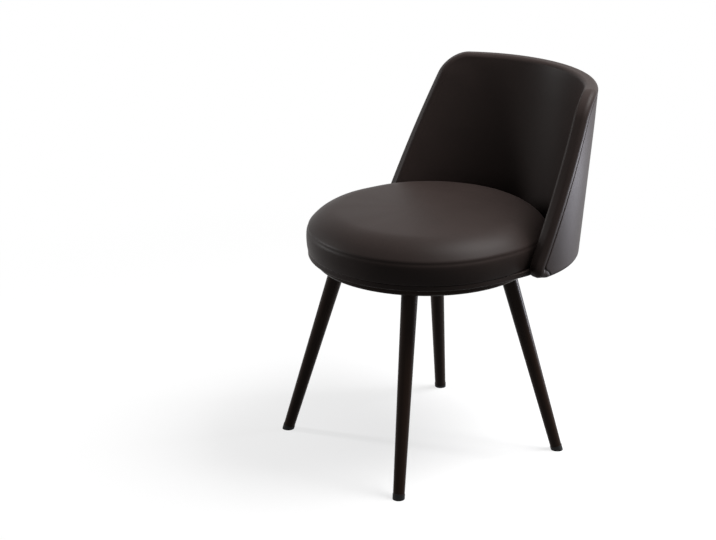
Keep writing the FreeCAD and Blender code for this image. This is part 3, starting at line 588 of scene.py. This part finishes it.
@dataclass(frozen=True)
class Plan:
    """Seat plan: a half circle in front, straight sides and a half circle at the rear."""

    stretch: float
    steps: int = 96

    def ring(self, radius: float, height: float) -> list[Point]:
        """Points round the plan, sitter's left side first.

        Args:
            radius: Plan radius.
            height: Height above the floor.

        Returns:
            The points in metres.
        """
        points = []
        for centre, start in ((self.stretch, 0.0), (0.0, math.pi)):
            for step in range(self.steps + 1):
                turn = start + math.pi * step / self.steps
                points.append((radius * math.cos(turn), centre + radius * math.sin(turn),
                               height))
        return points

    def outset(self, points: np.ndarray) -> np.ndarray:
        """Plan radius of each point, measured from the nearer centre or side."""
        along = points[:, 1] - np.clip(points[:, 1], 0.0, self.stretch)
        return np.hypot(points[:, 0], along)

    def lathe(self, name: str, section: Sequence[tuple[float, float]],
              closed: bool = False) -> bpy.types.Object:
        """Carry a section round the plan.

        Args:
            name: Object name.
            section: (radius, height) points. A closed one is a loop, and an open one runs from
                the middle of the underside to the middle of the top.
            closed: Whether the last point joins the first.

        Returns:
            The new object.
        """
        around = 2 * (self.steps + 1)
        points: list[Point] = []
        for radius, height in section:
            points += self.ring(radius, height)
        faces = grid_faces(len(section), around, closed=True)
        if closed:
            last = (len(section) - 1) * around
            for column in range(around):
                after = (column + 1) % around
                faces.append((last + column, last + after, after, column))
        return mesh_object(name, points, faces)


@dataclass(frozen=True)
class Cushion:
    """Crowned seat cushion: a top panel sewn to a side band over one foam block."""

    plan: Plan
    radius: float
    board_level: float
    seam_level: float
    top_level: float
    shoulder_width: float = 60 * MM
    middle_swell: float = 1 * MM
    side_bulge_radius: float = 125 * MM
    side_draw: float = 1.5 * MM
    foot_round: float = 2.5 * MM
    seam_depth: float = 1.6 * MM
    seam_width: float = 3.2 * MM
    board_grip: float = 2 * MM  # held fast up to here, and let go over the ease
    board_ease: float = 9 * MM
    seam_grip: float = 3 * MM
    seam_ease: float = 10 * MM
    stuffing: Stuffing = Stuffing(cap=2.5 * MM)

    SIDE_SHARE = 0.9  # share of the radius beyond which the seam draws the cover in

    @property
    def shoulder_level(self) -> float:
        """Height where the rounded shoulder runs out into the flat middle."""
        return self.top_level - self.middle_swell

    def side_radius(self, height: float) -> float:
        """Radius of the side band, on the arc of its bulge.

        Args:
            height: Height above the floor.

        Returns:
            The radius in metres.
        """
        chord = self.seam_level - self.board_level
        half = math.hypot(chord, self.side_draw) / 2
        sagitta = self.side_bulge_radius - math.sqrt(self.side_bulge_radius ** 2 - half ** 2)
        share = (height - self.board_level) / chord
        return self.radius - self.side_draw * (1 - share) + sagitta * 4 * share * (1 - share)

    def section(self) -> list[tuple[float, float]]:
        """Section from the middle of the underside, round the side, to the middle of the top.

        Returns:
            The section as (radius, height) points.
        """
        points = []
        for share in (0.0, 0.3, 0.55, 0.75, 0.88, 0.95):
            points.append((self.radius * share, self.board_level))
        for turn in (0, 30, 60, 90):
            angle = math.radians(turn)
            rise = self.foot_round * (1 - math.cos(angle))
            inset = self.foot_round * (1 - math.sin(angle))
            height = self.board_level + rise
            points.append((self.side_radius(height) - inset, height))
        low = self.board_level + self.foot_round
        band = [low + (self.seam_level - low) * share
                for share in (0.12, 0.27, 0.42, 0.57, 0.71, 0.82, 0.9, 0.95, 0.98, 1.0)]
        points += [(self.side_radius(height), height) for height in band]
        points += self.shoulder()
        points += [((self.radius - self.shoulder_width) * share,
                    self.top_level - self.middle_swell * share * share)
                   for share in (0.93, 0.84, 0.73, 0.61, 0.48, 0.35, 0.22, 0.11, 0.0)]
        return points

    def shoulder(self) -> list[tuple[float, float]]:
        """Single arc from the seam up to the flat middle.

        Returns:
            The arc as (radius, height) points.
        """
        rise = self.shoulder_level - self.seam_level
        width = self.shoulder_width
        radius = (width * width + rise * rise) / (2 * rise)
        full = math.asin(width / radius)
        middle = self.radius - width
        points = []
        for share in (0.985, 0.96, 0.92, 0.86, 0.78, 0.69, 0.6, 0.5, 0.4, 0.3, 0.2, 0.1, 0.0):
            turn = full * share
            points.append((middle + radius * math.sin(turn),
                           self.shoulder_level - radius * (1 - math.cos(turn))))
        return points

    def held(self, points: np.ndarray) -> np.ndarray:
        """Hold of the cover: full on the board and along the seam, none in the panels.

        Args:
            points: Places of the points in metres.

        Returns:
            Each point's hold, from 0 to 1.
        """
        rise = points[:, 2] - self.board_level
        from_board = smooth_step(1 - (rise - self.board_grip) / self.board_ease)
        outset = self.plan.outset(points)
        gap = np.hypot(points[:, 2] - self.seam_level, outset - self.radius)
        from_seam = smooth_step(1 - (gap - self.seam_grip) / self.seam_ease)
        return np.maximum(from_board, from_seam)

    def build(self) -> bpy.types.Object:
        """Build, fill and seam the cushion.

        Returns:
            The cushion.
        """
        made = self.plan.lathe("seat_cushion", self.section())
        self.stuffing.fill(made, self.held)
        self.pull_seam(made)
        add_subdivision(made)
        return made

    def pull_seam(self, target: bpy.types.Object) -> None:
        """Draw the cover in along the sewn seam between the top panel and the side band.

        Args:
            target: The cushion.
        """
        points = mesh_points(target.data)
        outset = self.plan.outset(points)
        gap = np.hypot(points[:, 2] - self.seam_level, outset - self.radius)
        side = outset > self.radius * self.SIDE_SHARE
        near = np.where(side, np.exp(-(gap / self.seam_width) ** 2), 0.0)
        pull = self.seam_depth * near / np.maximum(outset, MM)
        centre = np.clip(points[:, 1], 0.0, self.plan.stretch)
        points[:, 0] -= points[:, 0] * pull
        points[:, 1] -= (points[:, 1] - centre) * pull
        target.data.vertices.foreach_set("co", points.ravel())
        target.data.update()


@dataclass(frozen=True)
class BoardWrap:
    """Leather folded round the edge of the seat board, from its underside to its top."""

    plan: Plan
    radius: float
    low: float
    high: float
    sheet: float = 1 * MM
    turn_in: float = 15 * MM
    turn_over: float = 60 * MM
    fold: float = 2.2 * MM
    rounding: float = 1.6 * MM
    facet: float = 0.5 * MM  # how far the middle of the rounding lies in from its corner
    bevel: float = 0.6 * MM

    def build(self) -> bpy.types.Object:
        """Lathe the folded strip as one closed section.

        Returns:
            The strip.
        """
        inner = self.radius - self.sheet
        cover = self.high + self.sheet
        outer_fold = [(self.radius - self.fold * (1 - math.sin(turn)),
                       self.low + self.fold * (1 - math.cos(turn)))
                      for turn in (math.radians(step) for step in (0, 22, 45, 68, 90))]
        section = [(self.radius - self.turn_in, self.low), *outer_fold,
                   (self.radius, (self.low + self.high) / 2),
                   (self.radius, cover - self.rounding),
                   (self.radius - self.facet, cover - self.facet),
                   (self.radius - self.rounding, cover),
                   (self.radius - self.turn_over, cover),
                   (self.radius - self.turn_over, self.high),
                   (inner - self.bevel, self.high),
                   (inner, self.high - self.bevel),
                   (inner, self.low + self.fold),
                   (inner - 0.4 * self.fold, self.low + self.sheet),
                   (self.radius - self.turn_in, self.low + self.sheet)]
        made = self.plan.lathe("board_edge", section, closed=True)
        add_subdivision(made)
        return made


@dataclass(frozen=True)
class DustCloth:
    """Felt stapled under the board, hanging slightly slack between its edges."""

    plan: Plan
    radius: float
    opening: float
    level: float
    sag: float = 0.9 * MM
    rings: int = 14

    @property
    def flat_area(self) -> float:
        """Area of the cut before it was fixed."""
        outline = math.pi * self.radius ** 2 + 2 * self.radius * self.plan.stretch
        return outline - math.pi * self.opening ** 2

    def build(self) -> bpy.types.Object:
        """Span the cloth between the opening and its outer edge.

        Returns:
            The cloth.
        """
        inner = Plan(0.0, self.plan.steps).ring(self.opening, self.level)
        outer = self.plan.ring(self.radius, self.level)
        points = []
        for ring in range(self.rings + 1):
            share = ring / self.rings
            drop = self.sag * math.sin(math.pi * share)
            for near, far in zip(inner, outer):
                points.append((near[0] + (far[0] - near[0]) * share,
                               near[1] + (far[1] - near[1]) * share, self.level - drop))
        around = len(inner)
        made = mesh_object("underside_cloth", points,
                           grid_faces(self.rings + 1, around, closed=True))
        return made


# Back


@dataclass(frozen=True)
class BackForm:
    """Middle surface of the back: a leaning, spreading round shell with slanting wing edges."""

    low: float
    top: float
    radius: float = 238.7 * MM
    centre: float = 59.9 * MM
    recline: float = 25.9 * MM
    spread: float = 6.8 * MM
    wing_edge: float = 67.7 * MM
    wing_lean: float = 23.75
    corner: float = 42 * MM
    foot_corner: float = 28 * MM
    half_thickness: float = 14 * MM
    hem: float = 4 * MM
    edge_roll: float = 16 * MM

    def centre_at(self, height: float) -> float:
        """Y of the shell's axis at a height."""
        return self.centre + self.recline * (height - self.low) / (self.top - self.low)

    def radius_at(self, height: float) -> float:
        """Radius of the middle surface at a height."""
        return self.radius + self.spread * (height - self.low) / (self.top - self.low)

    def tip_at(self, height: float) -> float:
        """Arc length from the middle of the back to a wing's edge, its corners left square.

        Args:
            height: Height above the floor.

        Returns:
            The arc length in metres.
        """
        edge = self.wing_edge + math.tan(math.radians(self.wing_lean)) * (height - self.low)
        radius = self.radius_at(height)
        return radius * math.acos((edge - self.centre_at(height)) / radius)

    def end_at(self, height: float) -> float:
        """Arc length to a wing's edge with its rounded upper and lower corners.

        Args:
            height: Height above the floor.

        Returns:
            The arc length in metres.
        """
        into = min(max(height - (self.top - self.corner), 0.0), self.corner)
        under = min(max(self.low + self.foot_corner - height, 0.0), self.foot_corner)
        cut = self.corner - math.sqrt(self.corner ** 2 - into ** 2)
        cut += self.foot_corner - math.sqrt(self.foot_corner ** 2 - under ** 2)
        return self.tip_at(height) - cut

    def place(self, along: float, height: float, offset: float) -> Point:
        """Point of the back.

        Args:
            along: Arc length from the middle, towards the sitter's left.
            height: Height above the floor.
            offset: Distance outwards from the middle surface.

        Returns:
            The point in metres.
        """
        radius = self.radius_at(height)
        turn = along / radius
        reach = radius + offset
        return (reach * math.sin(turn), self.centre_at(height) + reach * math.cos(turn), height)

    def rim(self) -> np.ndarray:
        """Outline of the side edges and the top.

        Returns:
            One (arc length, height) row for each point.
        """
        turns = np.radians(np.linspace(0, 90, 60))
        straight = np.linspace(self.low - self.corner, self.top - self.corner, 120)
        heights = [*straight, *(self.top - self.corner + self.corner * np.sin(turns[1:]))]
        right = [(self.end_at(height), height) for height in heights]
        across = np.linspace(right[-1][0], -right[-1][0], 200)
        left = [(-along, height) for along, height in reversed(right)]
        return np.array(right + [(along, self.top) for along in across[1:-1]] + left)

    def depth(self, along: np.ndarray, heights: np.ndarray) -> np.ndarray:
        """Distance of points of the unrolled back from its side edges and its top.

        Args:
            along: Arc lengths of the points.
            heights: Their heights.

        Returns:
            Their distances, in the same shape.
        """
        rim = self.rim()
        flat = np.stack([along.ravel(), heights.ravel()], axis=1)
        starts, ends = rim[:-1], rim[1:]
        steps = ends - starts
        squares = (steps ** 2).sum(axis=1)
        nearest = np.full(len(flat), np.inf)
        for start, step, square in zip(starts, steps, squares):
            share = np.clip(((flat - start) @ step) / square, 0.0, 1.0)
            gap = flat - start - share[:, None] * step
            nearest = np.minimum(nearest, np.hypot(gap[:, 0], gap[:, 1]))
        return nearest.reshape(along.shape)

    def levels(self, hem_corner: float, hem_turns: Sequence[float], top: float, corner: float,
               rows: tuple[int, int]) -> np.ndarray:
        """Heights of a grid's rows: close at the hem and at the rounded upper corners.

        Args:
            hem_corner: Radius of the rounded hem.
            hem_turns: Degrees round it at which rows lie.
            top: Height of the highest row.
            corner: Radius of the upper corners.
            rows: Number of rows in the straight part and round the upper corners.

        Returns:
            The heights, from the hem up.
        """
        hem = [self.low + rise for rise in quarter_rise(hem_corner, hem_turns)]
        body = [self.low + step * MM for step in (14, 20, 28)]
        body += list(np.linspace(body[-1], top - corner, rows[0])[1:])
        rounded = [top - corner + corner * math.sin(math.radians(turn))
                   for turn in np.linspace(0, 90, rows[1])[1:]]
        return np.array(hem + body + rounded)

    def skin(self, name: str, along: np.ndarray, heights: np.ndarray, outer: np.ndarray,
             inner: np.ndarray) -> bpy.types.Object:
        """Closed body between two offsets over one grid of the unrolled back.

        Args:
            name: Object name.
            along: Arc lengths of the grid's points, one row per level.
            heights: Their heights.
            outer: Their outer offsets.
            inner: Their inner offsets.

        Returns:
            The new object.
        """
        rows, columns = along.shape
        points = []
        for offsets in (outer, inner):
            for row in range(rows):
                for column in range(columns):
                    points.append(self.place(along[row, column], heights[row, column],
                                             offsets[row, column]))
        second = rows * columns
        faces = grid_faces(rows, columns) + grid_faces(rows, columns, second)
        border = [(0, column) for column in range(columns)]
        border += [(row, columns - 1) for row in range(1, rows)]
        border += [(rows - 1, column) for column in range(columns - 2, -1, -1)]
        border += [(row, 0) for row in range(rows - 2, 0, -1)]
        indices = [row * columns + column for row, column in border]
        for here, after in zip(indices, indices[1:] + indices[:1]):
            faces.append((here, after, second + after, second + here))
        return mesh_object(name, points, faces)


def quarter_rise(radius: float, turns: Sequence[float]) -> list[float]:
    """Rise of a quarter round above its start, at each turn in degrees."""
    return [radius * (1 - math.cos(math.radians(turn))) for turn in turns]


def grid_places(levels: np.ndarray, ends: Sequence[float], widths: Sequence[float],
                middle: int) -> tuple[np.ndarray, np.ndarray]:
    """Places of a grid over the unrolled back: close at both ends of a row, even between.

    Args:
        levels: Height of each row.
        ends: Arc length from the middle to the end of each row.
        widths: Distances in from each end, rising from 0.
        middle: Number of places in the even middle of a row.

    Returns:
        Arc lengths and heights, one row for each level.
    """
    left = np.array(widths)
    along = []
    for end in ends:
        length = 2 * end
        inside = np.linspace(left[-1], length - left[-1], middle)
        along.append(np.concatenate([left[:-1], inside, length - left[:-1][::-1]]) - end)
    along = np.array(along)
    return along, np.repeat(levels[:, None], along.shape[1], axis=1)


@dataclass(frozen=True)
class BackPadding:
    """Inner padding with its leather, boxed round the edges to the seam on the outside.

    The edge has a flat face between a tight corner on the inside and a fuller one outside.
    """

    form: BackForm
    crown: float = 1.2 * MM
    crown_run: float = 70 * MM
    valley: float = 11.2 * MM
    valley_lead: float = 1.4 * MM  # the seam's valley starts so far before the edge roll ends
    valley_run: float = 2.4 * MM
    inner_corner: float = 7 * MM
    outer_corner: float = 11 * MM
    hem_corner: float = 6 * MM
    hem_grip: float = 6 * MM  # held fast up to here, and let go over the ease
    hem_ease: float = 20 * MM
    outside_grip: float = 2 * MM
    outside_ease: float = 6 * MM
    stuffing: Stuffing = Stuffing(cap=1.2 * MM)

    def build(self) -> bpy.types.Object:
        """Build the padding over its grid and fill it.

        Returns:
            The padding.
        """
        form = self.form
        half = form.half_thickness
        widths = quarter_rise(half, np.linspace(0, 90, 12))
        widths += [form.edge_roll + step * MM for step in (-1.4, -0.6, 0.2, 1.0, 3.0, 9.0)]
        levels = form.levels(self.hem_corner, (0, 12, 25, 38, 52, 66, 78, 90), form.top,
                             form.corner, rows=(40, 30))
        along, heights = grid_places(levels, [form.end_at(level) for level in levels], widths,
                                     90)
        depth = form.depth(along, heights)
        hem = half_round(heights - form.low, form.hem) - form.hem
        outer_hem = half_round(heights - form.low, self.hem_corner) - self.hem_corner
        rounded = half - self.outer_corner + half_round(depth, self.outer_corner) + outer_hem
        sunk = smooth_step((depth - (form.edge_roll - self.valley_lead)) / self.valley_run)
        outer = rounded - np.maximum(rounded - self.valley, 0.0) * sunk
        inner = -(half - self.inner_corner + half_round(depth, self.inner_corner) + hem)
        inner -= self.crown * smooth_step(depth / self.crown_run)
        made = form.skin("back_padding", along, heights, outer, inner)
        self.stuffing.fill(made, self.held)
        add_subdivision(made)
        return made

    def held(self, points: np.ndarray) -> np.ndarray:
        """Hold of the cover: full near the hem and on the outside, where the panel covers it.

        Args:
            points: Places of the points in metres.

        Returns:
            Each point's hold, from 0 to 1.
        """
        form = self.form
        rise = points[:, 2] - form.low
        from_hem = smooth_step(1 - (rise - self.hem_grip) / self.hem_ease)
        share = (points[:, 2] - form.low) / (form.top - form.low)
        centre = form.centre + form.recline * share
        radius = form.radius + form.spread * share
        outside = np.hypot(points[:, 0], points[:, 1] - centre) - radius
        from_inside = smooth_step((outside + self.outside_grip) / self.outside_ease)
        return np.maximum(from_hem, from_inside)


@dataclass(frozen=True)
class BackPanel:
    """Outer panel, sewn inside the rolled edge and swelling out from its seam."""

    form: BackForm
    shy: float = 0.4 * MM
    foot: float = 8.4 * MM
    seam: float = 12.2 * MM
    shoulder: float = 3 * MM
    crown: float = 0.8 * MM
    crown_run: float = 60 * MM
    hem_corner: float = 6 * MM
    least: float = 0.3 * MM  # least thickness
    rim_gap: float = 0.05 * MM  # how far below the top the highest rows' ends are measured

    SEARCH_SHARE = 0.3
    SEARCH_STEPS = 500

    def end_inside(self, height: float, margin: float) -> float:
        """Arc length at which a level comes as near to the outline as a margin.

        Args:
            height: Height of the level.
            margin: Distance to keep from the outline.

        Returns:
            The arc length in metres.
        """
        form = self.form
        end = form.end_at(height)
        along = np.linspace(end, end * self.SEARCH_SHARE, self.SEARCH_STEPS)
        depth = form.depth(along[None, :], np.full((1, len(along)), height))[0]
        return float(np.interp(margin, depth, along))

    def build(self) -> bpy.types.Object:
        """Build the panel over its grid.

        Returns:
            The panel.
        """
        form = self.form
        margin = form.edge_roll + self.shy
        top = form.top - margin
        corner = form.corner - margin
        levels = form.levels(self.hem_corner, (0, 18, 36, 54, 72, 90), top, corner,
                             rows=(34, 18))
        widths = quarter_rise(self.shoulder, np.linspace(0, 90, 8)) + [self.shoulder * 3]
        ends = [self.end_inside(min(level, top - self.rim_gap), margin) for level in levels]
        along, heights = grid_places(levels, ends, widths, 80)
        depth = np.maximum(form.depth(along, heights) - margin, 0.0)
        full = form.half_thickness - self.seam
        swell = full * half_round(depth, self.shoulder) / self.shoulder
        hem_round = self.hem_corner - half_round(heights - form.low, self.hem_corner)
        outer = self.seam + swell + self.crown * smooth_step(depth / self.crown_run) - hem_round
        inner = np.full_like(outer, self.foot)
        made = form.skin("back_panel", along, heights, np.maximum(outer, inner + self.least),
                         inner)
        add_subdivision(made)
        return made


# Studio


@dataclass(frozen=True)
class AreaLamp:
    """Soft box: where it stands, what it faces, its size, power and tint."""

    name: str
    place: Point
    target: Point
    width: float
    height: float
    watts: float
    tint: str = "#ffffff"

    def build(self) -> bpy.types.Object:
        """Set the lamp up, unseen by the camera.

        Returns:
            The lamp.
        """
        data = bpy.data.lights.new(self.name, "AREA")
        data.shape = "RECTANGLE"
        data.size = self.width
        data.size_y = self.height
        data.energy = self.watts
        data.color = linear_colour(self.tint)[:3]
        lamp = bpy.data.objects.new(self.name, data)
        lamp.location = self.place
        facing = Vector(self.target) - Vector(self.place)
        lamp.rotation_euler = facing.to_track_quat("-Z", "Y").to_euler()
        lamp.visible_camera = False
        bpy.context.scene.collection.objects.link(lamp)
        return lamp


@dataclass(frozen=True)
class Studio:
    """Pale floor, soft boxes, white surroundings and the camera."""

    camera_place: Point = (2.753, -2.037, 1.576)
    camera_facing: Point = (-0.7775, 0.5321, -0.3351)
    lens_mm: float = 94.0
    sensor_mm: float = 36.0
    floor_size: float = 40.0
    fill_light: float = 0.03
    white_near: float = 0.7  # share of plain white in the floor under the chair
    white_from: float = 1.6  # distance from the chair where it is plain white alone
    paper: str = "#fdfdfd"
    painted_bounce_shade: str = "#2c2c2c"  # painted shade: the dark grey that light rays see on the paper, so it throws little light back onto the chair

    LAMPS = (
        AreaLamp("overhead", (0.6, 0.85, 2.05), (0.05, 0.0, 0.45), 1.15, 1.15, 82.0),
        AreaLamp("rear_low", (0.4, 1.35, 0.26), (0.2, 0.2, 0.45), 0.3, 0.28, 12.0, "#f2f3ff"),
        AreaLamp("front_right", (-2.2, -1.7, 1.15), (0.25, 0.1, 0.65), 0.3, 0.8, 38.0),
    )

    def build(self) -> None:
        """Set up floor, lamps, surroundings and camera."""
        self.floor()
        for lamp in self.LAMPS:
            lamp.build()
        self.surroundings()
        self.camera()
        bpy.context.scene.view_settings.view_transform = "Standard"

    def floor(self) -> None:
        """Lay seamless white paper that keeps a faint shadow. To light rays it is painted dark
        grey, so it throws little light back.
        """
        half = self.floor_size / 2
        made = mesh_object("floor", [(-half, -half, 0.0), (half, -half, 0.0),
                                     (half, half, 0.0), (-half, half, 0.0)], [(0, 1, 2, 3)])
        paper = bpy.data.materials.new("floor_paper")
        paper.use_nodes = True
        tree = paper.node_tree
        tree.nodes.clear()
        matt = add_node(tree, "BsdfDiffuse", Color=linear_colour(self.paper))
        glow = add_node(tree, "Emission", Strength=1.0)
        place = add_node(tree, "TexCoord").outputs["Object"]
        away = add_node(tree, "VectorMath", operation="LENGTH", Vector=place)
        share = add_node(tree, "MapRange", Value=away.outputs["Value"], From_Max=self.white_from,
                         To_Min=self.white_near)
        white = join(tree, "MixShader", matt.outputs[0], glow.outputs[0], start=1,
                     Fac=share.outputs["Result"])
        # Painted shade: light rays see the paper as dark grey, not white, so the chair gets
        # little bounce from below
        painted_bounce_shade = add_node(tree, "BsdfDiffuse", Color=linear_colour(self.painted_bounce_shade))
        seen = join(tree, "MixShader", painted_bounce_shade.outputs[0], white, start=1,
                    Fac=self.background_ray(tree))
        add_node(tree, "OutputMaterial", Surface=seen)
        made.data.materials.append(paper)

    def background_ray(self, tree: bpy.types.NodeTree) -> bpy.types.NodeSocket:
        """Tell the rays that see the background from those that light the chair.

        Args:
            tree: Node tree of a material or the world.

        Returns:
            A socket that is 1 where the camera, a glossy or a clear surface looks, else 0.
        """
        ray = add_node(tree, "LightPath")
        share = ray.outputs["Is Camera Ray"]
        for name in ("Is Glossy Ray", "Is Transmission Ray"):
            share = join(tree, "Math", share, ray.outputs[name], operation="MAXIMUM")
        return share

    def surroundings(self) -> None:
        """White to the camera and in reflections, and a dim fill light on the chair."""
        world = bpy.data.worlds.new("studio")
        world.use_nodes = True
        bpy.context.scene.world = world
        tree = world.node_tree
        tree.nodes.clear()
        soft = add_node(tree, "Background", Strength=self.fill_light, Color=(1, 1, 1, 1))
        white = add_node(tree, "Background", Strength=1.0, Color=(1, 1, 1, 1))
        seen = join(tree, "MixShader", soft.outputs[0], white.outputs[0], start=1,
                    Fac=self.background_ray(tree))
        add_node(tree, "OutputWorld", Surface=seen)

    def camera(self) -> None:
        """Stand the camera where the photograph was taken."""
        data = bpy.data.cameras.new("camera")
        data.lens = self.lens_mm
        data.sensor_width = self.sensor_mm
        made = bpy.data.objects.new("camera", data)
        made.location = self.camera_place
        facing = Vector(self.camera_facing)
        made.rotation_euler = facing.to_track_quat("-Z", "Y").to_euler()
        bpy.context.scene.collection.objects.link(made)
        bpy.context.scene.camera = made


# Assembly


class Chair:
    """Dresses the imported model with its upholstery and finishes."""

    FILL = 0.9  # how tightly the seat and the back are stuffed
    CLOTH_OPENING = 112.5 * MM
    CLOTH_DROP = 0.2 * MM  # gap between the board and the cloth

    def __init__(self, frame: dict) -> None:
        """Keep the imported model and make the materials."""
        self.frame = frame
        self.shop = MaterialShop(FINISHES)

    def dress_nodes(self) -> None:
        """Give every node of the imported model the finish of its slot."""
        for entry in self.frame["record"]["subparts"]:
            self.shop.dress(self.frame["nodes"][entry["node"]], entry["material_slot"])

    def upholster(self) -> None:
        """Build the seat and the back and hang each piece on the turning body."""
        low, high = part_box("seat_top")
        radius = high[0]
        plan = Plan(high[1] - radius)
        cushion = Cushion(plan, radius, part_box("seat_side")[0][2], low[2], high[2])
        self.settle(cushion.build(), "leather", "seat_top", "seat_side", "seat_foam",
                    fill=self.FILL)
        low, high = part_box("board_wrap")
        board_plan = Plan(high[1] - high[0])
        wrap = BoardWrap(board_plan, high[0], low[2], high[2])
        self.settle(wrap.build(), "leather", "board_wrap")
        low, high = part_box("dust_cloth")
        cloth = DustCloth(board_plan, high[0], self.CLOTH_OPENING, high[2] - self.CLOTH_DROP)
        self.settle(cloth.build(), "dust_cloth", "dust_cloth")
        low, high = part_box("back_inner")
        form = BackForm(low[2], high[2])
        self.settle(BackPadding(form).build(), "leather", "back_inner", fill=self.FILL)
        self.settle(BackPanel(form).build(), "leather", "back_outer", fill=self.FILL)

    def settle(self, piece: bpy.types.Object, slot: str, *nodes: str,
               fill: float | None = None) -> None:
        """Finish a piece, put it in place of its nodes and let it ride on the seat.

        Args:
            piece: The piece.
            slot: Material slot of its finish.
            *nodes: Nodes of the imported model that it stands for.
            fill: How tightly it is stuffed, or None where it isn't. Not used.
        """
        self.shop.dress(piece, slot)
        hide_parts(*nodes)
        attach(piece, "seat")
        LOG.info("%s stands for %s", piece.name, ", ".join(nodes))


def corners(box: Sequence[Sequence[float]]) -> list[list[float]]:
    """Two corners as plain lists of numbers."""
    return [[float(number) for number in corner] for corner in box]


def main() -> None:
    """Build the whole scene."""
    logging.basicConfig(level=logging.INFO)
    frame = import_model()
    chair = Chair(frame)
    chair.dress_nodes()
    chair.upholster()
    Studio().build()


if __name__ == "__main__":
    main()
